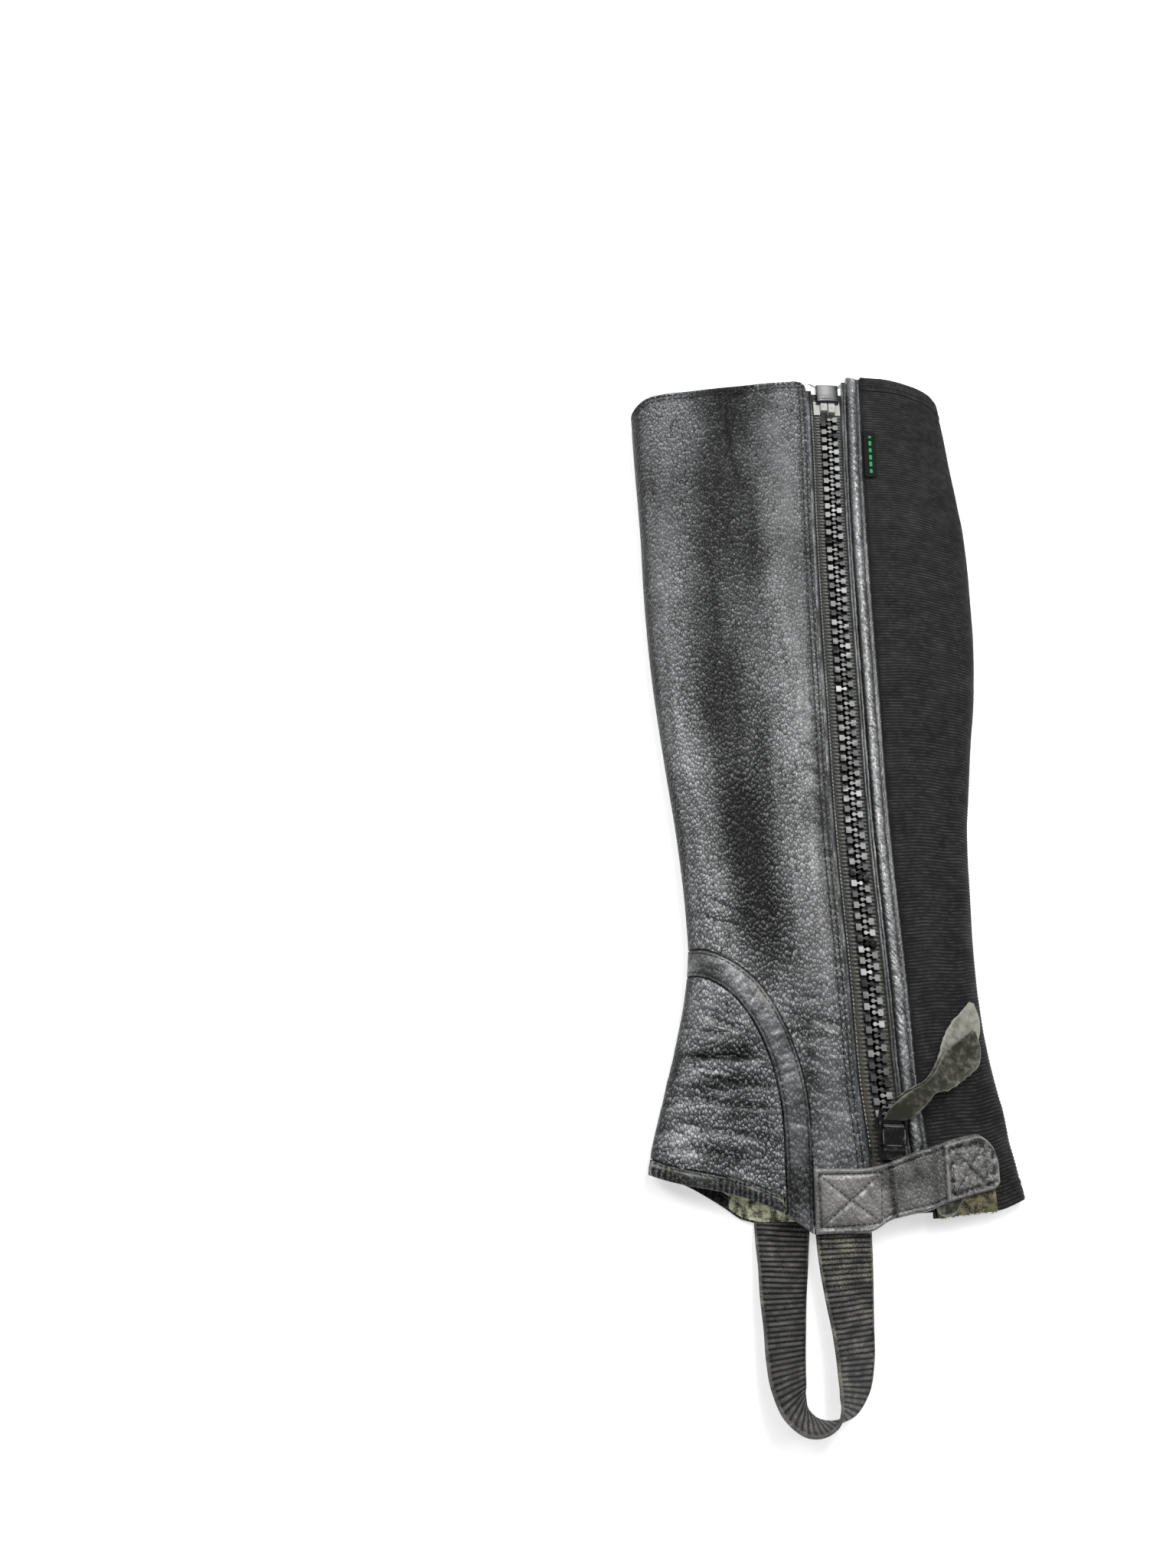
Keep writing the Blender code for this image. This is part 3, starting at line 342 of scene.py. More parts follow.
def add_wall(name: str, outer: Array, inner: Array, finish: Finish, uv: Array | None = None,
             marks: Marks | None = None, coarse: int = 1) -> Piece:
    """Closed wall between two grids of points of the same size, and a strip round the rim.

    Args:
        name: piece's name.
        outer: points of the face that shows.
        inner: points of the hidden face, of which each coarse-th row and column is used.
        finish: its material.
        uv: pattern coordinates, or None for run_uv.
        marks: named values for each outer point.
        coarse: how much sparser the hidden face is.
    Returns:
        The new object.
    """
    rows, columns = outer.shape[:2]
    r = np.unique(np.append(np.arange(0, rows, coarse), rows - 1))
    c = np.unique(np.append(np.arange(0, columns, coarse), columns - 1))
    number = np.arange(rows * columns).reshape(rows, columns)
    under = rows * columns + np.arange(len(r) * len(c)).reshape(len(r), len(c))
    faces = grid_faces(rows, columns).tolist()
    faces += (grid_faces(len(r), len(c))[:, ::-1] + rows * columns).tolist()
    for rim, low, stops in ((number[0], under[0], c), (number[:, -1], under[:, -1], r),
                            (number[-1, ::-1], under[-1, ::-1], columns - 1 - c[::-1]),
                            (number[::-1, 0], under[::-1, 0], rows - 1 - r[::-1])):
        faces += [[*rim[a:b + 1][::-1].tolist(), int(low[i]), int(low[i + 1])]
                  for i, (a, b) in enumerate(zip(stops[:-1], stops[1:]))]
    pick = np.ix_(r, c)
    uv = run_uv(outer) if uv is None else uv
    both = {mark: np.concatenate([(v + np.zeros((rows, columns))).ravel(),
                                  (v + np.zeros((rows, columns)))[pick].ravel()])
            for mark, v in (marks or {}).items()}
    return add_mesh(name, np.concatenate([outer.reshape(-1, 3), inner[pick].reshape(-1, 3)]), faces,
                    finish, np.concatenate([uv.reshape(-1, 2), uv[pick].reshape(-1, 2)]), both)


def skin_wall(name: str, phi: Array, y: Array, lift: Array, under: Array | float, finish: Finish,
              marks: Marks | None = None, coarse: int = 1) -> Piece:
    """Closed wall that lies on the leg's skin.

    Args:
        name: piece's name.
        phi: section angles of a grid of points.
        y: their heights.
        lift: how far out of the skin the face that shows lies.
        under: how far out the hidden face lies.
        finish: its material.
        marks: named values for each point.
        coarse: how much sparser the hidden face is.
    Returns:
        The new object.
    """
    return add_wall(name, LEG.skin(phi, y, lift), LEG.skin(phi, y, under), finish, marks=marks, coarse=coarse)


def run_uv(points: Array) -> Array:
    """Pattern coordinates in metres: length run along each row from its middle, and world y.

    Args: points: grid of points.
    Returns: both coordinates of each.
    """
    step = np.linalg.norm(np.diff(points, axis=1), axis=2)
    run = np.concatenate([np.zeros((len(points), 1)), np.cumsum(step, axis=1)], axis=1)
    middle = points.shape[1] // 2
    run = run - run[:, middle:middle + 1] + points[:, middle, 0][:, None]
    return np.stack([run, points[..., 1]], axis=-1) * MM


def add_rods(name: str, rings: Array, finish: Finish, sharp: float = 50.0,
             marks: Marks | None = None) -> Piece:
    """Many closed rods in one mesh.

    Args:
        name: piece's name.
        rings: points in the shape rods, rings, sides (an even number), 3.
        finish: its material.
        sharp: edges that turn more than this many degrees stay sharp.
        marks: named values for each point.
    Returns: the new object.
    """
    rods, count, sides = rings.shape[:3]
    side, ring = np.arange(sides), np.arange(count - 1) * sides
    a = (ring[:, None] + side[None, :]).ravel()
    b = (ring[:, None] + (side[None, :] + 1) % sides).ravel()
    wall = np.stack([a, b, b + sides, a + sides], axis=1)
    i = np.arange(sides // 2 - 1)
    cap = np.stack([i, i + 1, sides - 2 - i, sides - 1 - i], axis=1)
    one = np.concatenate([wall, cap[:, ::-1], cap + (count - 1) * sides])
    faces = (one[None] + (np.arange(rods) * count * sides)[:, None, None]).reshape(-1, 4)
    return add_mesh(name, rings, faces, finish, marks=marks, sharp=sharp)


def strip_frame(centre: Array, side: Array) -> Array:
    """Unit normals of a strip: its width direction crossed with the run of its middle line."""
    return unit(np.cross(side, unit(np.gradient(centre, axis=0))))


@dataclass(frozen=True)
class Thread:
    """Row of stitches: each an arched rod that dives into the cloth at both ends."""

    pitch: float = 3.2
    fill: float = 0.8
    radius: float = 0.26
    sink: float = 0.05

    def rings(self, line: Array, out: Array) -> Array:
        """Rings of every stitch on a line.

        Args:
            line: points along the seam.
            out: unit normals of the cloth there.
        Returns:
            Array of stitches, 5 rings, 6 sides, 3. Each ring's middle rises as sin(pi t).
        """
        run = run_along(line)
        count = max(1, int(run[-1] / self.pitch))
        t = np.linspace(0.0, 1.0, 5)
        at = (np.arange(count)[:, None] + (1 - self.fill) / 2 + self.fill * t) * run[-1] / count
        place = np.stack([np.interp(at, run, line[:, k]) for k in range(3)], axis=-1)
        normal = unit(np.stack([np.interp(at, run, out[:, k]) for k in range(3)], axis=-1))
        across = np.cross(unit(place[:, -1:] - place[:, :1]) + 0.0 * place, normal)
        arch = np.sin(math.pi * t)
        size = self.radius * (0.55 + 0.45 * arch)
        middle = place + normal * (self.radius * (arch * 1.3 - 0.9) - self.sink)[None, :, None]
        turn = np.arange(6) * math.pi / 3
        return (middle[:, :, None, :] + size[None, :, None, None] * (
            across[:, :, None, :] * np.cos(turn)[None, None, :, None]
            + normal[:, :, None, :] * np.sin(turn)[None, None, :, None]))

    def sew(self, name: str, rows: list[tuple[Array, Array]], finish: Finish) -> Piece:
        """Every stitch on rows of points and normals, in one mesh."""
        return add_rods(name, np.concatenate([self.rings(*row) for row in rows]), finish)


def on_skin(x: Array, y: Array, lift: Array) -> tuple[Array, Array]:
    """Points of the upper skin over places x, y, and the unit normals there.

    Args: x, y: places. lift: distance out of the skin.
    Returns: the points and the normals.
    """
    phi = LEG.phi(x, y)
    low, high = LEG.skin(phi, y, lift), LEG.skin(phi, y, lift + 1.0)
    return low, high - low


def rounded(gap: Array, radius: float) -> Array:
    """How far a face has dropped at a gap from its rim: radius - sqrt(radius^2 - (radius - gap)^2)."""
    inside = np.clip(1.0 - gap / radius, 0.0, 1.0)
    return radius * (1.0 - np.sqrt(1.0 - inside ** 2))


# ---- shader arithmetic
class Wire:
    """Output socket of a node. An expression on wires and numbers adds its Math nodes."""

    def __init__(self, graph: "Graph", socket: bpy.types.NodeSocket) -> None:
        """Args: graph: where it belongs. socket: the output."""
        self.graph, self.socket = graph, socket

    def math(self, operation: str, other: "Wire | float") -> "Wire":
        """One Math node on this wire and another value."""
        return self.graph.node("ShaderNodeMath", {"operation": operation}, {0: self, 1: other})

    def __add__(self, other: "Wire | float") -> "Wire":
        """Sum."""
        return self.math("ADD", other)

    def __mul__(self, other: "Wire | float") -> "Wire":
        """Product."""
        return self.math("MULTIPLY", other)

    def __sub__(self, other: "Wire | float") -> "Wire":
        """Difference."""
        return self.math("SUBTRACT", other)

    def __rsub__(self, other: float) -> "Wire":
        """Difference, this wire taken from a number."""
        return self.graph.node("ShaderNodeMath", {"operation": "SUBTRACT"}, {0: other, 1: self})

    __radd__, __rmul__ = __add__, __mul__


class Graph:
    """Nodes of one material, round its Principled shader."""

    def __init__(self, name: str) -> None:
        """Args: name: the material's name."""
        self.material = bpy.data.materials.new(name)
        self.material.use_nodes = True
        self.tree = self.material.node_tree
        self.shader = self.tree.nodes["Principled BSDF"]

    def node(self, kind: str, settings: dict | None = None, inputs: dict | None = None,
             output: int | str = 0) -> Wire:
        """Any node.

        Args:
            kind: node type.
            settings: its properties, set before the sockets.
            inputs: a value or a wire for each socket, by name or number.
            output: the socket that is wanted.
        Returns:
            That output.
        """
        made = self.tree.nodes.new(kind)
        for name, value in (settings or {}).items():
            setattr(made, name, value)
        for key, value in (inputs or {}).items():
            self.put(made.inputs[key], value)
        return Wire(self, made.outputs[output])

    def put(self, socket: bpy.types.NodeSocket, value: object) -> None:
        """Link a wire to a socket, or set its value.

        Args: socket: an input. value: a wire, or a plain value.
        """
        if isinstance(value, Wire):
            self.tree.links.new(value.socket, socket)
        else:
            socket.default_value = value

    def finish(self, **values: object) -> Finish:
        """Fill the shader's sockets, named with underscores for spaces, and hand over the material.

        Args: values: a value or a wire for each socket.
        Returns: the material.
        """
        for name, value in values.items():
            self.put(self.shader.inputs[name.replace("_", " ")], value)
        return self.material

    def mark(self, name: str) -> Wire:
        """Value that the mesh carries for each point."""
        return self.node("ShaderNodeAttribute", {"attribute_name": name}, output="Fac")

    def cloth(self, across: float = 1.0, along: float = 1.0) -> Wire:
        """Pattern coordinates in metres, stretched."""
        uv = self.node("ShaderNodeUVMap", {"uv_map": "cloth"})
        return self.node("ShaderNodeMapping", {}, {"Vector": uv, "Scale": (across, along, 1.0)})

    def solid(self, x: float = 1.0, y: float = 1.0, z: float = 1.0) -> Wire:
        """Object coordinates in metres, stretched."""
        place = self.node("ShaderNodeTexCoord", output="Object")
        return self.node("ShaderNodeMapping", {}, {"Vector": place, "Scale": (x, y, z)})

    def noise(self, place: Wire, size: float, detail: float = 2.0, rough: float = 0.5) -> Wire:
        """Cloudy value about 0.5, of a size in millimetres."""
        return self.node("ShaderNodeTexNoise", {},
                         {"Vector": place, "Scale": 1000.0 / size, "Detail": detail, "Roughness": rough})

    def cells(self, place: Wire, size: float, feature: str = "F1", output: str = "Distance",
              jitter: float = 1.0, space: str = "3D") -> Wire:
        """Cells of a size in millimetres: distance from a middle or an edge, or a colour for each."""
        return self.node("ShaderNodeTexVoronoi", {"voronoi_dimensions": space, "feature": feature},
                         {"Vector": place, "Scale": 1000.0 / size, "Randomness": jitter}, output)

    def warped(self, place: Wire, size: float, reach: float) -> Wire:
        """Coordinates pushed about by up to reach millimetres.

        Args: place: the coordinates. size: of the push's clouds. reach: of the push.
        Returns: the new ones.
        """
        cloud = self.node("ShaderNodeTexNoise", {}, {"Vector": place, "Scale": 1000.0 / size}, "Color")
        push = self.node("ShaderNodeVectorMath", {"operation": "SUBTRACT"}, {0: cloud, 1: (0.5,) * 3})
        return self.node("ShaderNodeVectorMath", {"operation": "MULTIPLY_ADD"},
                         {0: push, 1: (2.0 * reach * MM,) * 3, 2: place})

    def span(self, value: Wire, low: Wire | float, high: Wire | float, start: float = 0.0,
             end: float = 1.0) -> Wire:
        """Value eased from start at low to end at high.

        Args: value: what is read. low, high: where it starts and ends. start, end: what it gives there.
        Returns: the eased value.
        """
        return self.node("ShaderNodeMapRange", {"interpolation_type": "SMOOTHSTEP"},
                         {"Value": value, "From Min": low, "From Max": high, "To Min": start,
                          "To Max": end})

    def mix(self, share: Wire | float, first: Wire | Colour, second: Wire | Colour) -> Wire:
        """Colour between two, by a share that is held from 0 to 1."""
        return self.node("ShaderNodeMix", {"data_type": "RGBA"}, {0: share, 6: first, 7: second}, 2)

    def bump(self, height: Wire, depth: float) -> Wire:
        """Normal from a height whose unit stands depth millimetres high."""
        return self.node("ShaderNodeBump", {}, {"Height": height, "Distance": depth * MM, "Strength": 1.0})


def grey(value: float, warmth: float = 0.0) -> Colour:
    """Grey of a linear value, a little warmer or cooler."""
    return (value * (1 + warmth), value, value * (1 - warmth), 1.0)


# ---- finishes
@dataclass(frozen=True)
class Leather:
    """Black leather with pebbled grain: domes between grooves, greyer where it rubs. Its colour paints
    the grooves darker as shade and each dome lighter on its upper side as a painted highlight.

    The mesh carries three values: "smooth" flattens the grain, "wear" is where the black has worn
    off, and a third is how grey the leather looks, with painted light laid in: highlight strips along
    the shin and beside the zip, and painted shade down the middle of the leg, in creases and channels.
    """

    name: str
    pebble: float = 1.45
    depth: float = 0.5
    dark: float = 0.002
    light: float = 0.46
    gloss: float = 0.30
    sheen: float = 0.4
    warmth: float = -0.03

    def made(self) -> Finish:
        """Returns: the material."""
        g = Graph(self.name)
        smooth, tone_and_painted_light, wear = g.mark("smooth"), g.mark("tone_and_painted_light"), g.mark("wear")
        place = g.warped(g.warped(g.solid(1.0, 0.62, 1.0), 1.6, 0.3), 9.0, 1.4)
        # Cells read a little above each point; their difference makes glint, a painted highlight on the upper
        # side of each pebble.
        above = g.node("ShaderNodeVectorMath", {"operation": "ADD"},
                       {0: place, 1: (0.03 * self.pebble * MM, 0.24 * self.pebble * MM, 0.0)})
        reach, higher = g.cells(place, self.pebble), g.cells(above, self.pebble)
        edge = g.cells(place, self.pebble, "DISTANCE_TO_EDGE")
        lot = g.cells(place, self.pebble, output="Color")
        patch, dust = g.noise(place, 11.0, 3.0), g.noise(place, 0.6, 3.0, 0.7)
        groove = g.span(edge, 0.0, 0.10)
        grain = 1.0 - smooth * 0.75
        height = ((1.0 - reach * reach * 1.8) * groove * grain + dust * 0.22
                  + g.noise(place, 5.0, 2.0) * 0.7)
        thin = (1.0 - tone_and_painted_light) * 0.30
        glint = (g.span(higher - reach, 0.02, 0.16) * g.span(reach, thin, thin + 0.30) * groove
                 * (0.5 + lot * 0.8))
        # Colour from the painted light that the mesh carries, the grooves painted darker as shade, and the
        # painted glints.
        share = (tone_and_painted_light * (0.40 + (patch - 0.5) * 0.7 + (groove - 0.6) * 0.5 * grain)
                 + glint * grain * (0.26 + tone_and_painted_light * 0.6) + (dust - 0.5) * (0.08 + tone_and_painted_light * 0.22) - 0.10)
        colour = g.mix(share, grey(self.dark, self.warmth), grey(self.light, self.warmth))
        scuff = g.span(wear + (g.noise(place, 1.1, 4.0, 0.75) - 0.5) * 1.1, 0.45, 0.95)
        colour = g.mix(scuff * 0.75, colour, (0.33, 0.325, 0.29, 1.0))
        rough = self.gloss + (1.0 - tone_and_painted_light) * 0.2 + (1.0 - groove) * 0.25 + (dust - 0.5) * 0.2 + scuff * 0.3
        coat = g.span(tone_and_painted_light, 0.25, 0.9) * (1.0 - (1.0 - groove) * grain * 0.7)
        return g.finish(Base_Color=colour, Roughness=rough, Specular_IOR_Level=self.sheen, Coat_Weight=coat,
                        Coat_Roughness=0.32, Coat_IOR=1.6, Normal=g.bump(height, self.depth))


@dataclass(frozen=True)
class RibbedCloth:
    """Woven or knitted cloth with raised ribs, which the mesh carries as "rib" from 0 to 1; the ribs' tops
    are painted lighter and the gaps darker, as highlight and shade.
    """

    name: str
    low: Colour
    high: Colour
    thread: float = 0.55
    dust: float = 0.0
    dust_colour: Colour = (0.24, 0.22, 0.18, 1.0)

    def made(self) -> Finish:
        """Returns: the material."""
        g = Graph(self.name)
        place = g.warped(g.cloth(), 2.0, 0.12)
        rib, wear = g.mark("rib"), g.mark("wear")
        loops = g.cells(g.cloth(1.0, 0.7), self.thread, jitter=0.45, space="2D")
        fuzz = g.noise(place, 0.35, 4.0, 0.8)
        patch = g.noise(place, 14.0, 3.0)
        # The rib value paints the ribs' tops lighter and the gaps darker, a painted highlight and shade.
        share = (rib * rib * 0.8 + g.span(loops, 0.1, 0.7, 0.2, 0.0) + (fuzz - 0.5) * 1.1
                 + (patch - 0.5) * 0.5 - 0.1)
        colour = g.mix(share, self.low, self.high)
        dust = g.noise(g.cloth(0.8, 1.5), 0.8, 3.0, 0.8)
        speck = g.span(dust + (patch - 0.5) * 0.7 + wear * 0.22, 0.6, 0.78)
        colour = g.mix(speck * rib * self.dust, colour, self.dust_colour)
        return g.finish(Base_Color=colour, Roughness=0.85 - rib * 0.15, Specular_IOR_Level=0.3,
                        Sheen_Weight=0.1, Sheen_Roughness=0.5,
                        Normal=g.bump((1.0 - loops) * 0.6 + fuzz * 0.7, 0.22))


@dataclass(frozen=True)
class ZipTape:
    """Twill tape with short pale ticks beside the teeth, where "tick" is 1, and brown dirt."""

    name: str
    pitch: float = 0.95

    def made(self) -> Finish:
        """Returns: the material."""
        g = Graph(self.name)
        place, tick, dirt = g.cloth(), g.mark("tick"), g.mark("dirt")
        wave = g.node("ShaderNodeTexWave", {"bands_direction": "Y"},
                      {"Vector": g.warped(place, 3.0, 0.12), "Scale": 1000.0 / self.pitch / 20.0 * math.pi,
                       "Distortion": 0.0})
        twill = g.node("ShaderNodeTexWave", {"bands_direction": "DIAGONAL"},
                       {"Vector": place, "Scale": 1000.0 / 0.7 / 20.0 * math.pi, "Distortion": 1.0})
        fuzz = g.noise(place, 0.4, 4.0, 0.8)
        share = g.span(wave, 0.5, 0.9) * tick * 0.6 + (fuzz - 0.5) * 0.6 + twill * 0.1
        colour = g.mix(share + 0.05, (0.006, 0.0065, 0.006, 1.0), (0.36, 0.37, 0.34, 1.0))
        stain = g.span(dirt + (g.noise(place, 6.0, 3.0) - 0.5) * 0.9, 0.3, 0.9)
        colour = g.mix(stain * 0.45, colour, (0.12, 0.105, 0.07, 1.0))
        return g.finish(Base_Color=colour, Roughness=0.8, Specular_IOR_Level=0.3,
                        Normal=g.bump(wave * tick * 0.8 + twill * 0.3 + fuzz * 0.5, 0.2))


@dataclass(frozen=True)
class Moulded:
    """Plain moulded plastic or enamel: faint mottle, fine scratches, and softened gloss.

    Where it is marked, the mesh carries a grey value, from the darkest colour to the worn one; on
    the teeth and the box that value is painted highlight and painted shade.
    """

    name: str
    colour: Colour
    worn: Colour
    gloss: float = 0.22
    coat: float = 0.0
    scratch: float = 0.35
    marked: bool = False

    def made(self) -> Finish:
        """Returns: the material."""
        g = Graph(self.name)
        place = g.solid()
        streak = g.noise(g.solid(1.0, 0.2, 1.0), 0.5, 4.0, 0.8)
        mottle = g.noise(place, 3.0, 3.0)
        worn = g.span(streak + (mottle - 0.5) * 0.6, 0.56, 0.85)
        # Marked pieces add the painted highlight and shade that the mesh carries to the scratches.
        share = g.mark("tone_and_painted_light") + (worn - 0.3) * self.scratch if self.marked else worn * self.scratch
        return g.finish(Base_Color=g.mix(share, self.colour, self.worn),
                        Roughness=self.gloss + worn * 0.25 + (mottle - 0.5) * 0.12,
                        Specular_IOR_Level=0.6, Coat_Weight=self.coat, Coat_Roughness=0.15,
                        Normal=g.bump(streak * 0.5 + mottle, 0.08))


@dataclass(frozen=True)
class Suede:
    """Split leather with a short nap. "wear" is how pale and worn it is."""

    name: str
    dark: Colour
    pale: Colour

    def made(self) -> Finish:
        """Returns: the material."""
        g = Graph(self.name)
        place, wear = g.cloth(), g.mark("wear")
        nap = g.noise(place, 0.35, 5.0, 0.8)
        patch = g.noise(place, 3.5, 3.0, 0.6)
        share = wear + (patch - 0.5) * 1.1 + (nap - 0.5) * 1.3
        return g.finish(Base_Color=g.mix(g.span(share, 0.0, 1.0), self.dark, self.pale), Roughness=0.9,
                        Specular_IOR_Level=0.25, Sheen_Weight=0.3,
                        Normal=g.bump(nap + patch * 0.8, 0.2))


@dataclass(frozen=True)
class Fuzz:
    """Loops of a fastening patch. The glow is painted light: the pile's own colour, emitted, lifts it where
    it lies in shade.
    """

    name: str
    low: Colour
    high: Colour
    glow: float = 0.0

    def made(self) -> Finish:
        """Returns: the material."""
        g = Graph(self.name)
        place = g.warped(g.solid(), 1.5, 0.5)
        loops = g.noise(place, 0.7, 5.0, 0.85)
        patch = g.noise(place, 3.5, 3.0)
        share = g.span(loops + (patch - 0.5) * 0.9, 0.36, 0.62)
        colour = g.mix(share, self.low, self.high)
        return g.finish(Base_Color=colour, Roughness=0.95, Specular_IOR_Level=0.2, Sheen_Weight=0.4,
                        Emission_Color=colour, Emission_Strength=self.glow, Normal=g.bump(loops, 0.6))


@dataclass(frozen=True)
class WovenTag:
    """Satin tag with a plain row of dashes. The mesh carries "dash", 1 on each dash."""

    name: str

    def made(self) -> Finish:
        """Returns: the material."""
        g = Graph(self.name)
        weave = g.noise(g.cloth(1.0, 0.25), 0.25, 3.0, 0.7)
        ground = g.mix(weave, (0.002, 0.003, 0.002, 1.0), (0.012, 0.014, 0.012, 1.0))
        colour = g.mix(g.span(g.mark("dash"), 0.4, 0.6), ground, (0.03, 0.36, 0.12, 1.0))
        return g.finish(Base_Color=colour, Roughness=0.75, Specular_IOR_Level=0.2,
                        Normal=g.bump(weave, 0.1))


@dataclass(frozen=True)
class Sewing:
    """Twisted thread."""

    name: str
    low: Colour
    high: Colour

    def made(self) -> Finish:
        """Returns: the material."""
        g = Graph(self.name)
        twist = g.noise(g.solid(), 0.4, 3.0, 0.8)
        wander = g.noise(g.solid(), 9.0, 2.0)
        return g.finish(Base_Color=g.mix(twist * 0.6 + g.span(wander, 0.35, 0.65) * 0.5, self.low, self.high),
                        Roughness=0.6, Normal=g.bump(twist, 0.1))


class Palette:
    """Every finish, made once."""

    def __init__(self) -> None:
        """Makes the materials."""
        self.leather = Leather("black_leather").made()
        self.roll = Leather("glossy_leather", pebble=1.3, depth=0.16, light=0.34, gloss=0.22,
                            sheen=0.9).made()
        self.strap = Leather("strap_leather", pebble=1.0, depth=0.22, gloss=0.34, warmth=0.02).made()
        self.facing = Leather("facing_leather", pebble=1.2, depth=0.14, dark=0.01, light=0.36, gloss=0.4,
                              warmth=-0.04).made()
        self.elastic = RibbedCloth("ribbed_elastic", grey(0.002), grey(0.088, 0.02)).made()
        self.webbing = RibbedCloth("ribbed_webbing", grey(0.001), grey(0.20, 0.03), thread=0.9,
                                   dust=0.9, dust_colour=(0.42, 0.41, 0.31, 1.0)).made()
        self.tape = ZipTape("zip_tape").made()
        # The lighter colour of the teeth and of the box is their painted highlight.
        self.teeth = Moulded("moulded_zip", grey(0.003), grey(0.52), gloss=0.2, marked=True).made()
        self.box = Moulded("grey_moulding", grey(0.01), grey(0.62), gloss=0.2, scratch=0.15,
                           marked=True).made()
        self.pins = Moulded("zip_pin_plastic", (0.50, 0.51, 0.48, 1.0), (0.72, 0.72, 0.67, 1.0),
                            gloss=0.35).made()
        # Bright enamel for the painted glints along the slider bridge's edges.
        self.glint_enamel = Moulded("glint_enamel_edge", grey(0.16), grey(0.50), gloss=0.25, scratch=0.9).made()
        self.enamel = Moulded("enamelled_slider", grey(0.004), grey(0.30), gloss=0.12, coat=1.0,
                              scratch=0.5).made()
        self.suede = Suede("lace_leather", (0.020, 0.021, 0.011, 1.0), (0.44, 0.435, 0.38, 1.0)).made()
        # The inner patch's pile glows a little: painted light that lifts it out of the shade inside the chap.
        self.fuzz = Fuzz("pale_loop_fabric", (0.03, 0.03, 0.012, 1.0), (0.80, 0.82, 0.60, 1.0), 0.2).made()
        self.dusty = Fuzz("dusty_loop_fabric", (0.006, 0.006, 0.004, 1.0), (0.34, 0.31, 0.15, 1.0)).made()
        self.tag = WovenTag("woven_tag").made()
        self.thread = Sewing("black_thread", grey(0.001), grey(0.03)).made()
        self.pale_thread = Sewing("pale_thread", grey(0.16, 0.03), grey(0.62, 0.05)).made()


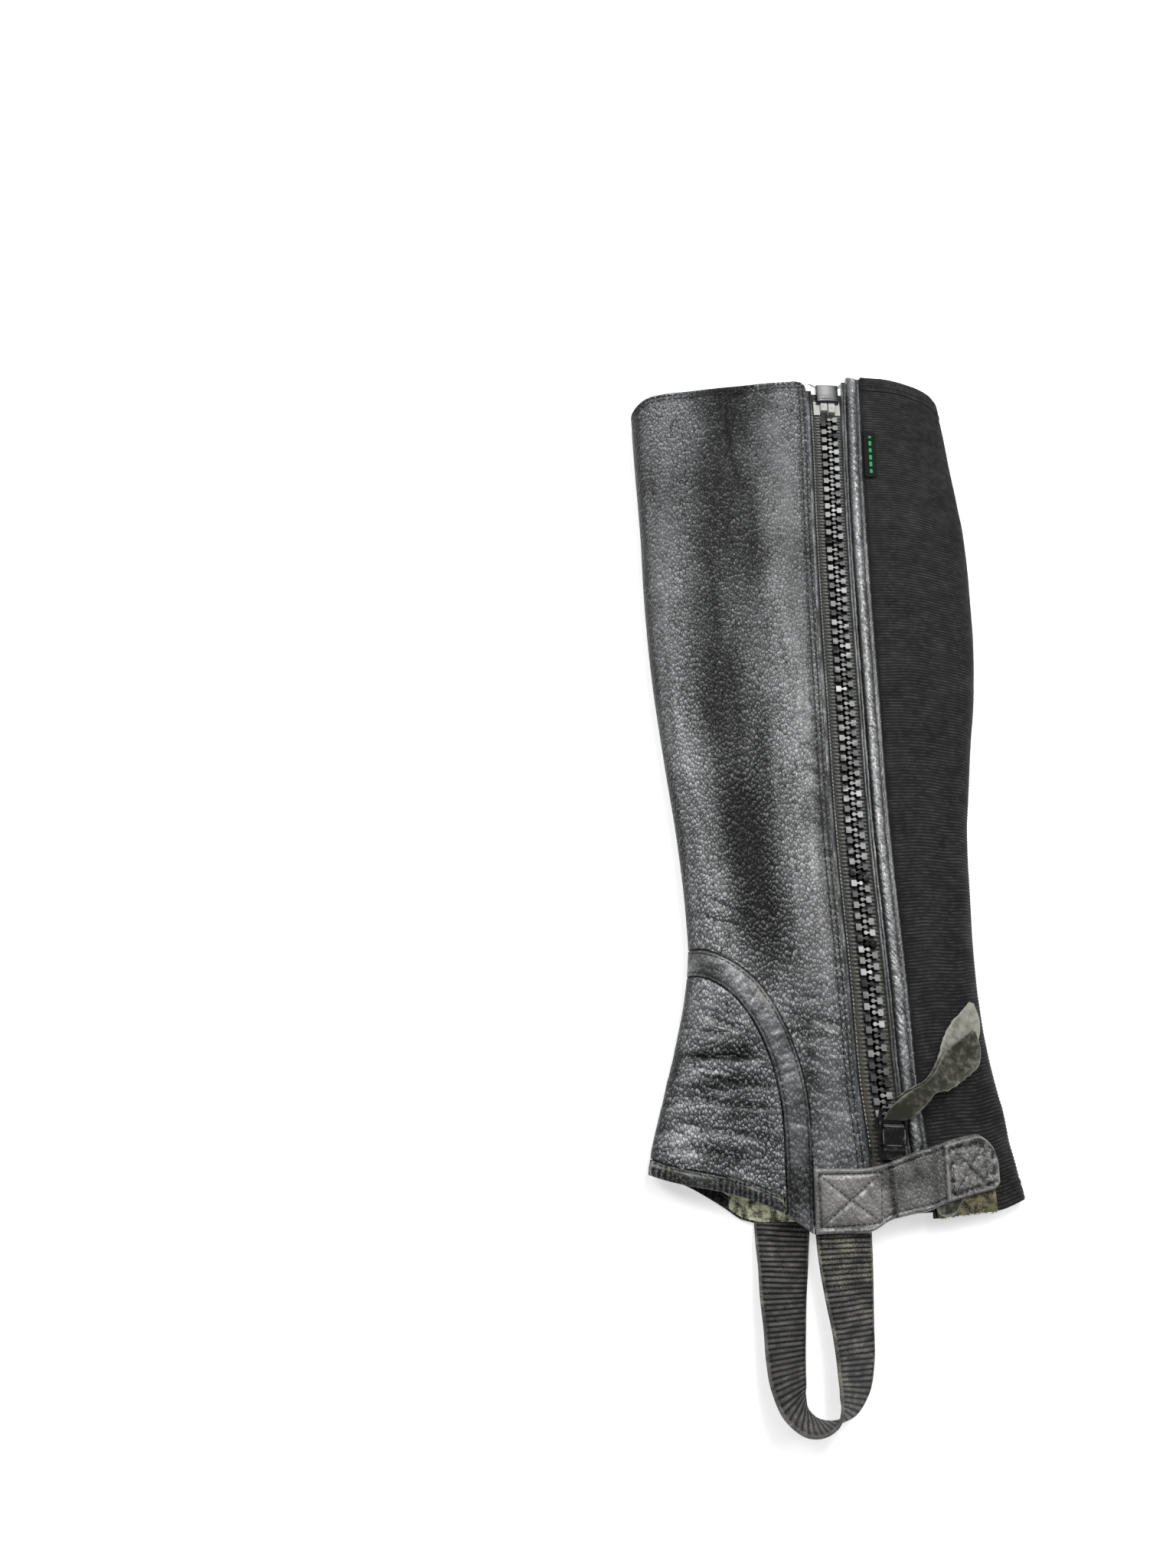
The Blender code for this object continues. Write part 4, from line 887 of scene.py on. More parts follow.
# ---- leather
class Hide:
    """Relief, tone and wear of the leather, over places x, y on the side that shows."""

    folds = Knots("x y rx ry turn depth", [
        (-31, 226, 8, 44, 10, 1.5), (-47, 112, 10, 46, -6, 1.6), (-35, 0, 9, 46, 8, 1.2),
        (-68, -112, 15, 4.4, 8, 1.3), (-58, -124, 18, 4.2, -10, 1.3), (-66, -140, 17, 4.6, -6, 1.1)])
    creases = Knots("x0 y0 x1 y1 width depth", [
        (-80, -109, -36, -111, 1.5, 0.9), (-76, -116, -31, -124, 1.5, 1), (-80, -112, -42, -119, 1.2, 0.6),
        (-78, -127, -30, -133, 1.6, 1), (-77, -138, -33, -146, 1.7, 0.9), (-84, -119, -72, -117, 1.2, 0.7),
        (-85, -132, -74, -130, 1.2, 0.7), (-86, -143, -76, -140, 1.3, 0.7), (-60, -92, -44, -99, 1.5, 0.5),
        (-70, -97, -50, -101, 1.4, 0.5), (-62, -150, -40, -157, 1.5, 0.6), (-82, -152, -66, -150, 1.3, 0.6),
        (-8, 42, 6, 36, 1.5, 0.5), (-9, 31, 6, 24, 1.4, 0.6), (-7, 16, 6, 10, 1.5, 0.5),
        (-8, 3, 5, -3, 1.3, 0.4), (-6, -12, 6, -15, 1.4, 0.4), (-66, -44, -44, -50, 1.6, 0.5),
        (-60, -36, -36, -46, 1.5, 0.35), (-12, 60, 3, 56, 1.3, 0.35), (-68, 20, -56, -6, 1.8, 0.4),
        (-40, 236, -34, 190, 1.6, 0.5), (-30, 200, -26, 150, 1.6, 0.35), (-52, 150, -48, 96, 1.6, 0.4),
        (-44, 90, -38, 40, 1.7, 0.4), (-30, 50, -24, 0, 1.6, 0.35), (-36, -10, -26, -60, 1.8, 0.4),
        (-82, 214, -78, 150, 1.6, 0.35), (-79, 130, -74, 60, 1.7, 0.35), (-18, 120, -13, 84, 1.4, 0.3)])
    # Lines of the painted highlight strip along the shin and of the painted shade down the middle of the leg;
    # the long folds also gather at the middle one.
    shine = Knots("y shin middle", [
        (250, -71, -38), (206, -74, -44), (159, -77, -50), (114, -77, -54),
        (71, -75, -52), (30, -71, -46), (-9, -64, -37), (-43, -59, -31),
        (-80, -54, -25), (-130, -50, -18)])
    rubs = Knots("x y rx ry turn amount", [
        (-38, 42, 9, 6, 20, 0.5), (-55, -64, 9, 1.6, 18, 0.5), (0, 22, 5, 26, 0, 0.1),
        (-4, -148, 9, 12, 0, 0.35)])
    smooths = Knots("x y rx ry turn amount", [
        (-76, 130, 7, 130, 3, 0.5), (-11, 195, 11, 70, -4, 0.55), (-6, 80, 7, 60, 0, 0.5),
        (1, 0, 6, 60, 0, 0.7), (-8, -70, 9, 60, 0, 0.5), (-2, -145, 16, 34, 0, 0.75),
        (-60, -88, 20, 12, 0, 0.3), (-88, 150, 5, 120, 0, 0.5)])
    # Painted light: positive amounts are painted highlights, on the gusset's bulges and in a few patches of
    # the leg; negative ones are painted shade, in the gusset's creases, along the shin fold and in a few
    # patches.
    marks = Knots("x y rx ry turn amount", [
        (-61, -90, 8, 11, 0, 0.35), (-64, -116, 11, 3.5, -5, 0.35), (-69, -131, 8, 6, 0, 0.40),
        (-74, -149, 6, 6, 0, 0.45), (-50, -108, 18, 4, -8, -0.25), (-54, -122, 22, 3.5, -6, -0.25),
        (-50, -138, 16, 4, -10, -0.2), (-80, -100, 3, 30, -10, -0.3), (-60, -140, 8, 3, 0, 0.15),
        (-4, -146, 12, 16, 0, 0.25), (-30, 20, 8, 30, 8, -0.1), (-89, 160, 4, 110, 0, -0.35),
        (-84, 60, 4, 70, 0, -0.3), (-75, -20, 4, 60, 0, -0.3), (-40, -146, 14, 12, 0, 0.1),
        (-7, 105, 7, 60, 0, -0.2), (-28, 6, 12, 45, 0, 0.16)])

    def lift(self, phi: Array, y: Array) -> Array:
        """How far the leather stands out, negative where it is pressed in.

        Sum of the named folds and creases, long soft undulations, wrinkles drawn out along the
        leg, short level ones at the ankle, and puckers that fade away from the zip's edge.

        Args: phi: section angle. y: height along the leg.
        Returns: the lift in millimetres.
        """
        x = LEG.section(phi, y)[0]
        shown = LEG.shown(phi)
        from_zip = LEG.zip_x(y) + LEATHER_EDGE - x
        press = self.folds.blobs(x, y) * ease(from_zip + 7.0 * WAVE(y / 33.0, x * 0), 2.0, 32.0) * shown
        ankle = ease(-y, 60.0, 95.0)
        press = press + self.creases.creases(x, y) * shown
        wave = 0.35 * WAVE(x / 19.0, y / 31.0, 2)
        long_folds = (0.42 * np.abs(WRINKLE(x / 5.2 + y / 60.0, y / 21.0, 2)) * (1 - ankle)
                      * (0.35 + 0.65 * bell(x - self.shine.at("middle", y), 20.0)))
        level = ankle * 0.5 * WRINKLE(x / 13.0, y / 4.6 + x / 21.0, 2)
        pucker = 0.28 * np.sin(y / 1.35 + 2.2 * WAVE(y / 9.0, x * 0)) * bell(from_zip - 3.0, 3.4) * (
            0.5 + 0.5 * TREMOR(y / 12.0, x * 0))
        grain = 0.07 * TREMOR(x / 1.7, y / 1.9)
        return (wave - long_folds + level + grain + pucker) * shown - press

    def dress(self, phi: Array, y: Array) -> Marks:
        """Values "smooth", "tone" and "wear" for each point.

        Args: phi: section angle. y: height along the leg.
        Returns: the values that the leather reads.
        """
        x = LEG.section(phi, y)[0]
        shown = LEG.shown(phi)
        # Painted highlight strips along the shin (strip) and beside the zip (near), and painted shade down
        # the middle (middle); the waves are the leather's own uneven greyness.
        strip = bell(x - self.shine.at("shin", y), 14.0)
        near = bell(x - (LEG.zip_x(y) - 23.0), 15.0)
        middle = bell(x - self.shine.at("middle", y), 11.0)
        leg = 0.27 + 0.44 * strip + 0.40 * near - 0.18 * middle + 0.14 * WAVE(x / 26.0, y / 37.0, 2)
        ankle = 0.58 + 0.16 * WAVE(x / 12.0, y / 9.0, 2)
        share = ease(-y, 55.0, 90.0) * ease(-x, 8.0, 22.0)
        # Creases are painted darker as shade, and so is the skin where it turns down over the shin fold
        # (rim).
        press = self.creases.creases(x, y)
        rim = bell(x - LEG.outline.at("shin", y), 2.6)
        tone_and_painted_light = leg * (1 - share) + ankle * share + self.marks.blobs(x, y) - 0.30 * press - 0.5 * rim
        return {"tone_and_painted_light": np.clip(tone_and_painted_light, 0.03, 1.3) * shown + 0.42 * (1 - shown),
                "smooth": np.clip(self.smooths.blobs(x, y), 0.0, 0.9) * shown + 0.3 * (1 - shown),
                "wear": self.rubs.blobs(x, y) * shown}


HIDE = Hide()


@dataclass
class AnkleSeam:
    """Edges that the leg, the curved band, the gusset and its binding share."""

    band_width: float = 12.3
    gap: float = 0.35
    hidden_scale: float = 0.67
    hidden_bottom: float = -183.4
    binding_width: float = 6.6
    edge = Knots("x y", [
        (-67.3, -60.3), (-60.5, -61.6), (-53.5, -64.3), (-46, -68.6), (-38.5, -74.8), (-31.7, -83.4),
        (-25.2, -94.9), (-20.4, -107), (-17.2, -119), (-15.3, -131), (-14.5, -144),
        (-14.5, -160), (-15, -174.5), (-15.4, -186.4)])
    hem = Knots("x y", [
        (-89, -161.5), (-82.4, -163.6), (-70.3, -166.3), (-60.1, -168), (-51.2, -169.8),
        (-40.6, -172.8), (-28, -178), (-16.6, -186.4)])
    hidden_hem = Knots("x y", [
        (-89, -161.5), (-79, -163.5), (-69, -167.4), (-61, -171.6), (-52, -177),
        (-46, -181), (-38, -183.2)])

    def rails(self, count: int, sparse: int) -> tuple[Array, Array, Array, Array]:
        """Upper and lower edge of the curved band, from the hidden hem over the shin to the hem.

        The lower edge is the upper one moved square to itself by the band's width.

        Args:
            count: points on the side that shows.
            sparse: only each sparse-th of them is repeated on the hidden side.
        Returns:
            Section angles and heights of the upper edge, then of the lower one.
        """
        upper = self.edge.path("x y", count, crowding=1.4)
        along = unit(np.gradient(upper, axis=0))
        lower = upper + np.stack([along[:, 1], -along[:, 0]], axis=1) * self.band_width
        fold = LEG.outline.at("shin", lower[:, 1])
        lower[:, 0] = np.maximum(lower[:, 0], fold + 0.3 * (upper[:, 0] - upper[0, 0]))
        lower[:, 0] = np.maximum.accumulate(lower[:, 0])
        corner = (upper[-1, 0] - self.band_width, self.hem.at("y", upper[-1, 0] - self.band_width, "x"))
        lower = np.vstack([lower[lower[:, 1] > self.hem.at("y", lower[:, 0], "x") + 0.5], corner])
        shares = [run / run[-1] for run in map(run_along, (upper, lower))]
        lower = np.stack([np.interp(shares[0], shares[1], lower[:, k]) for k in (0, 1)], axis=1)
        rails = []
        for rail, bottom in ((upper, self.hidden_bottom), (lower, None)):
            y = rail[:, 1]
            shown, fold = LEG.phi(rail[:, 0], y), LEG.outline.at("shin", y)
            x = np.maximum.accumulate(fold + (rail[:, 0] - fold) * self.hidden_scale)
            x = x + 0.5 * np.linspace(0.0, 1.0, count)
            end = self.hidden_hem.at("y", x[-1], "x") if bottom is None else bottom
            hidden_y = y + np.clip((-120.0 - y) / 60.0, 0.0, 1.0) * (end - y[-1])
            hidden = -LEG.phi(x, hidden_y)
            shown[0] = hidden[0] = 0.0
            pick = np.unique(np.append(np.arange(0, count, sparse), count - 1))[:0:-1]
            rails += [np.concatenate([hidden[pick], shown]), np.concatenate([hidden_y[pick], y])]
        return tuple(rails)

    def moved(self, phi: Array, y: Array, away_phi: Array, away_y: Array) -> tuple[Array, Array]:
        """Edge moved by the sewing gap, away from the other edge that it faces.

        Args: phi, y: the edge. away_phi, away_y: the other edge.
        Returns: the moved edge.
        """
        gap = np.linalg.norm(LEG.skin(phi, y) - LEG.skin(away_phi, away_y), axis=1)
        share = self.gap / np.maximum(gap, self.gap)
        return phi + (phi - away_phi) * share, y + (y - away_y) * share

    def hem_y(self, phi: Array) -> Array:
        """Height of the gusset's lower edge at a section angle.

        Args: phi: section angle.
        Returns: the height.
        """
        y = np.full(np.shape(phi), -168.0)
        for _ in range(4):
            x = LEG.section(phi, y)[0]
            y = np.where(phi < 0.0, self.hidden_hem.at("y", x, "x"), self.hem.at("y", x, "x"))
        return y


SEAM = AnkleSeam()


@dataclass
class LegPanel:
    """Leather of the leg: up from the curved band to the knee, and from the zip round the shin."""

    palette: Palette
    wall: float = 2.0
    bottom: float = -186.4
    knee: float = 255.0
    root: float = -12.9
    rows: int = 400
    crowd: float = 0.12
    top = Knots("x y", [
        (-94, 242), (-85, 246.5), (-76, 248.4), (-59, 250.4), (-38, 253.8), (-16, 257.6), (8, 259.6)])

    def spread(self, roots: Array) -> Array:
        """Places from 0 to 1 in the order of others, with room made where those crowd."""
        steps = np.diff(roots) + 0.35 / len(roots)
        return np.concatenate([[0.0], np.cumsum(steps) / steps.sum()])

    def grid(self) -> tuple[Array, Array, Array]:
        """Points close together round the fold and even after it.

        A column keeps its share t of the way from the fold to the panel's edge, where its place is
        reach (1 + k) t^2 / (t + k).

        Returns: section angles, heights, and the gap to the nearest cut edge.
        """
        upper_phi, upper_y, lower_phi, lower_y = SEAM.rails(112, 9)
        low_phi, low_y = SEAM.moved(upper_phi, upper_y, lower_phi, lower_y)
        under_x = np.linspace(LEG.outline.at("calf", -180.0) - UNDERLAP, -38.0, 7)[:-1]
        under_y = np.linspace(-177.0, SEAM.hidden_bottom, 7)[:-1]
        root_x = np.linspace(self.root, LEG.zip_x(self.bottom) + LEATHER_EDGE, 30)
        root_y = np.full(30, self.bottom)
        foot_phi = np.concatenate([-LEG.phi(under_x, under_y), low_phi, LEG.phi(root_x, root_y)])
        foot_y = np.concatenate([under_y, low_y, root_y])
        shares = edged(self.rows, 0.0007, 0.0018)[:, None]
        y = foot_y + (self.knee - foot_y) * shares
        fold = LEG.outline.at("shin", y)
        reach = np.where(foot_phi > 0, LEG.zip_x(y) + LEATHER_EDGE - fold,
                         LEG.outline.at("calf", y) - UNDERLAP - fold)
        share = np.clip((LEG.section(foot_phi, foot_y)[0] - fold[0]) / reach[0], 0.0, 1.0)
        k = self.crowd
        foot = (share + np.sqrt(share ** 2 + 4 * (1 + k) * share * k)) / (2 * (1 + k))
        middle = int(np.argmin(np.abs(foot_phi)))
        knee = np.concatenate([self.spread(foot[middle::-1])[:0:-1], self.spread(foot[middle:])])
        t = foot + (knee - foot) * shares ** 2.5
        x = fold + reach * (1 + k) * t ** 2 / (t + k)
        knee_y = self.top.at("y", x[-1], "x")
        knee_y[:middle] -= 3.0 * (1.0 - (1.0 - t[-1, :middle]) ** 2)
        corner = LEG.zip_x(250.0) + LEATHER_EDGE - x[-1, middle:]
        knee_y[middle:] -= rounded(corner, 5.0)
        y = foot_y + (knee_y - foot_y) * shares
        phi = LEG.phi(x, y) * np.sign(foot_phi)
        side = np.where(phi > 0, LEG.zip_x(y) + LEATHER_EDGE - x, 9.0)
        return phi, y, np.minimum(np.minimum(y - foot_y, knee_y - y), side)

    def build(self) -> Piece:
        """Returns: the panel, which stands for its solid."""
        phi, y, gap = self.grid()
        x = LEG.section(phi, y)[0]
        shown = LEG.shown(phi)
        top_gap = self.top.at("y", x, "x") - y
        zip_gap = np.where(phi > 0, LEG.zip_x(y) + LEATHER_EDGE - x, 40.0)
        channel = sum(0.28 * bell(g - at, 0.8) for g in (top_gap, zip_gap) for at in STITCH_ROWS) * shown
        swell = 0.35 * bell(zip_gap - 7.5, 2.4) + 0.2 * bell(top_gap - 7.0, 2.2)
        lift = HIDE.lift(phi, y) * ease(gap, -0.5, 4.0) - channel + swell * shown - rounded(gap, 0.7)
        marks = HIDE.dress(phi, y)
        # The sewn channels are painted darker as shade; the cut edges are a little lighter.
        marks["tone_and_painted_light"] = marks["tone_and_painted_light"] - 0.5 * channel + 0.15 * bell(gap, 0.7)
        marks["wear"] = marks["wear"] + 0.5 * bell(gap, 0.5) * shown
        inner = HIDE.lift(phi, y) * 0.6 * ease(gap, 0.0, 6.0) - self.wall
        return skin_wall("leg_panel", phi, y, lift, inner, self.palette.leather, marks, 4)

    def topstitching(self) -> Piece:
        """Returns: the two rows along the knee edge and down the zip's side."""
        rows = []
        for gap in STITCH_ROWS:
            y = np.linspace(252.0 - gap, -175.0, 700)
            down = np.stack([LEG.zip_x(y) + LEATHER_EDGE - gap, y], axis=1)
            x = np.linspace(-91.0, down[0, 0], 200)
            over = np.stack([x, self.top.at("y", x, "x") - gap], axis=1)
            x, y = np.concatenate([over[:-1], down[5:]]).T
            rows.append(on_skin(x, y, HIDE.lift(LEG.phi(x, y), y) - 0.1))
        return Thread(pitch=3.1, fill=0.92, radius=0.36).sew("leg_topstitching", rows, self.palette.thread)


@dataclass
class Ankle:
    """Curved band, gusset under it, and the binding on the gusset's hem."""

    palette: Palette
    wall: float = 2.0
    band_raise: float = 0.512
    binding_raise: float = 1.2
    pucker: float = 2.3

    def band(self) -> Piece:
        """Returns: padded band with a sewn channel near each edge and short wrinkles across it."""
        upper_phi, upper_y, lower_phi, lower_y = SEAM.rails(230, 8)
        shares = edged(17, 0.012, 0.035, 0.075)
        phi, y = between(upper_phi, lower_phi, shares), between(upper_y, lower_y, shares)
        x = LEG.section(phi, y)[0]
        shown = LEG.shown(phi)
        s = shares[:, None]
        gap = np.minimum(s, 1 - s) * SEAM.band_width
        run = np.cumsum(np.hypot(np.gradient(x[8]), np.gradient(y[8])))[None, :]
        pad = 0.5 * np.sin(math.pi * s) ** 0.6 + self.band_raise
        channel = 0.3 * bell(gap - 1.5, 0.45)
        wrinkle = 0.26 * WRINKLE(run / 2.3 + s * 1.2, s * 2.2, 2) * bell(s - 0.5, 0.42)
        lift = (pad - channel + wrinkle + 0.12 * TREMOR(x / 1.4, y / 1.4) - rounded(gap, 1.1)) * shown
        # Painted shade in the sewn channels and along the edges, and a painted highlight on the wrinkles'
        # crests.
        marks = {"smooth": 0.85 + 0 * x,
                 "tone_and_painted_light": 0.60 + 0.25 * WAVE(run / 16.0, s * 1.5, 2) - 1.1 * channel + 0.6 * wrinkle
                 - 0.5 * bell(gap, 0.35),
                 "wear": 0.62 * bell(run - run[0, -1] * 0.62, 16.0) * bell(s - 0.2, 0.25)
                 + 0.5 * bell(gap, 0.5) + 0.25 * WAVE(run / 6.0, s)}
        return skin_wall("ankle_band_cover", phi, y, lift, -self.wall, self.palette.leather, marks, 3)

    def band_stitching(self) -> Piece:
        """Returns: a row of stitches in each of the band's channels."""
        upper_phi, upper_y, lower_phi, lower_y = SEAM.rails(230, 8)
        rows = []
        for share in (0.12, 0.88):
            phi = upper_phi + (lower_phi - upper_phi) * share
            y = (upper_y + (lower_y - upper_y) * share)[phi > 0.25]
            phi = phi[phi > 0.25]
            rows.append((LEG.skin(phi, y, 0.62), LEG.skin(phi, y, 1.62) - LEG.skin(phi, y, 0.62)))
        return Thread(pitch=2.9).sew("band_stitching", rows, self.palette.thread)

    def gusset(self) -> Piece:
        """Returns: soft creased panel between the band and the hem's binding."""
        upper_phi, upper_y, lower_phi, lower_y = SEAM.rails(200, 8)
        top_phi, top_y = SEAM.moved(lower_phi, lower_y, upper_phi, upper_y)
        keep = top_y > SEAM.hem_y(top_phi) + SEAM.binding_width + 2.0
        top_phi, top_y = top_phi[keep], top_y[keep]
        middle = int(np.argmin(np.abs(top_phi)))
        foot_phi = np.concatenate([np.linspace(top_phi[0], 0.0, middle + 1)[:-1],
                                   np.linspace(0.0, top_phi[-1], len(top_phi) - middle)])
        foot_y = SEAM.hem_y(foot_phi) + SEAM.binding_width + SEAM.gap
        shares = edged(150, 0.003, 0.008)
        phi, y = between(foot_phi, top_phi, shares), between(foot_y, top_y, shares)
        gap = np.minimum(y - foot_y, top_y - y)
        lift = HIDE.lift(phi, y) * ease(gap, -1.0, 3.0) - rounded(gap, 0.6)
        return skin_wall("gusset_panel", phi, y, lift, lift * 0.5 - self.wall, self.palette.leather,
                         HIDE.dress(phi, y), 4)

    def binding(self) -> Piece:
        """Returns: rolled hem, which its thread puckers at a steady pitch."""
        _, _, lower_phi, lower_y = SEAM.rails(100, 5)
        low_x, high_x = (float(LEG.section(lower_phi[i], lower_y[i])[0]) for i in (0, -1))
        line = np.linspace(-LEG.phi(low_x - 0.1, -176.0), LEG.phi(high_x - 1.0, -178.0), 380)
        shares = edged(15, 0.03, 0.08)
        phi = between(line, line, shares)
        s = shares[:, None]
        y = SEAM.hem_y(line) + SEAM.binding_width * s
        x = LEG.section(phi, y)[0]
        run = np.cumsum(np.hypot(np.gradient(x[7]), np.gradient(y[7])))[None, :]
        pucker = np.sin(run * 2 * math.pi / self.pucker + 2.4 * WAVE(run / 7.0, s * 0))
        pucker = pucker * (0.5 + 0.5 * WAVE(run / 9.0, s))
        sewn = 0.5 * bell((s - 0.74) * SEAM.binding_width, 0.8)
        lift = (self.binding_raise * np.sin(math.pi * s) ** 0.55 - sewn + 0.38 * pucker * bell(s - 0.55, 0.4)
                + 0.14 * TREMOR(run / 1.6, s * 4)) * LEG.shown(phi)
        # The puckers are painted lighter on their crests and darker between them, as highlight and shade, and
        # the sewn line darker as shade.
        marks = {"smooth": 0.75 + 0 * x,
                 "tone_and_painted_light": 0.36 + 0.3 * pucker - 0.6 * sewn + 0.2 * bell(s - 0.85, 0.15),
                 "wear": 0.75 * bell((s - 0.74) * SEAM.binding_width, 0.9) + 0.3 * WAVE(run / 5.0, s)}
        return skin_wall("gusset_hem_roll", phi, y, lift, -self.wall, self.palette.leather, marks, 3)


# ---- elastic
@dataclass
class ElasticPanel:
    """Ribbed elastic over the calf, with a turned hem at the knee and at the ankle."""

    palette: Palette
    wall: float = 2.0
    hem: float = 9.0
    hem_raise: float = 0.7
    pitch: float = 1.6
    rib: float = 0.42
    steps: int = 4
    columns: int = 40
    top = Knots("x y", [
        (20, 263), (41, 264.3), (55, 265.2), (66, 263.6), (76, 259.8), (84, 253.6), (94, 250)])
    bottom = Knots("x y", [
        (20, -181.5), (38, -180.4), (54, -178.4), (72, -176.6), (84, -172.5), (95, -171.5)])

    def grid(self) -> tuple[Array, Array]:
        """Returns: section angles and heights of the points, closer together round the calf fold."""
        turn = np.concatenate([-np.linspace(1.0, 0.0, 13)[:-1] ** 0.8, np.linspace(0.0, 1.0, self.columns)])
        turn = np.sign(turn) * np.abs(turn) ** np.where(turn > 0, 0.62, 1.0)
        rows = int(440.0 / self.pitch) * self.steps
        share = edged(rows, 0.0006, 0.0014)[:, None]
        shown = turn[None, :] > 0
        y = np.zeros((len(share), len(turn)))
        for _ in range(3):
            calf = LEG.outline.at("calf", y)
            flange = LEG.zip_x(y) + FLANGE_EDGE + LEG.flare(y)
            reach = np.where(shown, calf - flange, UNDERLAP - 0.35)
            x = calf - reach * turn[None, :] ** 2
            low = self.bottom.at("y", x[0], "x")
            high = self.top.at("y", x[-1], "x") - np.where(shown[0], 0.0, 3.0)
            y = low + (high - low) * share
        phi = LEG.phi(x, y)
        return np.where(shown, phi, 2.0 * math.pi - phi), y

    def build(self) -> Piece:
        """Returns: panel whose ribs rise as (1 + cos) / 2 along the leg, each a little uneven."""
        phi, y = self.grid()
        x = LEG.section(phi, y)[0]
        shown = LEG.shown(phi)
        phase = np.arange(len(y))[:, None] / self.steps
        wander = 0.16 * WAVE(x / 7.0, y / 9.0)
        rib = 0.5 + 0.5 * np.cos(2 * math.pi * (phase + wander))
        turned = np.minimum(y - y[0], y[-1] - y)
        hem = 1.0 - ease(turned, self.hem - 0.6, self.hem + 0.4)
        seam_gap = x - (LEG.zip_x(y) + FLANGE_EDGE + LEG.flare(y))
        sewn = 0.45 * bell(seam_gap, 2.2)
        ruck = 0.35 * WRINKLE(x / 22.0, y / 7.0) * ease(-y, 60, 140)
        swell = (0.45 * WAVE(x / 16.0, y / 26.0, 2) + ruck) * shown
        strength = self.rib * (0.75 + 0.25 * TREMOR(x / 3.0, y / 1.6)) * (1 - 0.45 * hem)
        zig = 0.16 * np.abs(TREMOR(x / 1.1, y / 2.6)) * hem * shown
        lift = ((rib - 1.0 + 0.4 * shown) * strength + swell * ease(turned, 0, 14) - sewn * ease(turned, 0, 5)
                + self.hem_raise * hem * shown + zig - 0.3 * bell(turned - self.hem * 0.72, 0.7)
                - rounded(turned, 0.8))
        # The shader paints the ribs' tops lighter and the gaps darker, as highlight and shade, and the seam
        # darker still as shade.
        marks = {"rib": rib * (0.7 + 0.3 * TREMOR(x / 2.0, y / 1.6)) - 0.6 * bell(seam_gap, 1.2),
                 "wear": 0.5 * bell(turned, 2.0) * shown + 0 * y}
        inner = swell * 0.7 * ease(turned, 2, 14) - self.wall
        return skin_wall("calf_elastic", phi, y, lift, inner, self.palette.elastic, marks, 8)

    def hem_stitching(self) -> Piece:
        """Returns: zigzag over the raw edge of each hem, drawn as a triangle wave along it."""
        rows = []
        for table, way in ((self.top, -1.0), (self.bottom, 1.0)):
            x = np.linspace(36.5 if way < 0 else 39.5, 88.0, 900)
            wave = np.abs((x / 1.7) % 2.0 - 1.0) * 2.4
            y = table.at("y", x, "x") + way * (self.hem * 0.62 + wave * 0.6)
            keep = x < LEG.outline.at("calf", y) - 1.2
            rows.append(on_skin(x[keep], y[keep], self.hem_raise + 0.12))
        return Thread(pitch=1.46, fill=1.0, radius=0.17).sew("elastic_hem_zigzag", rows, self.palette.thread)


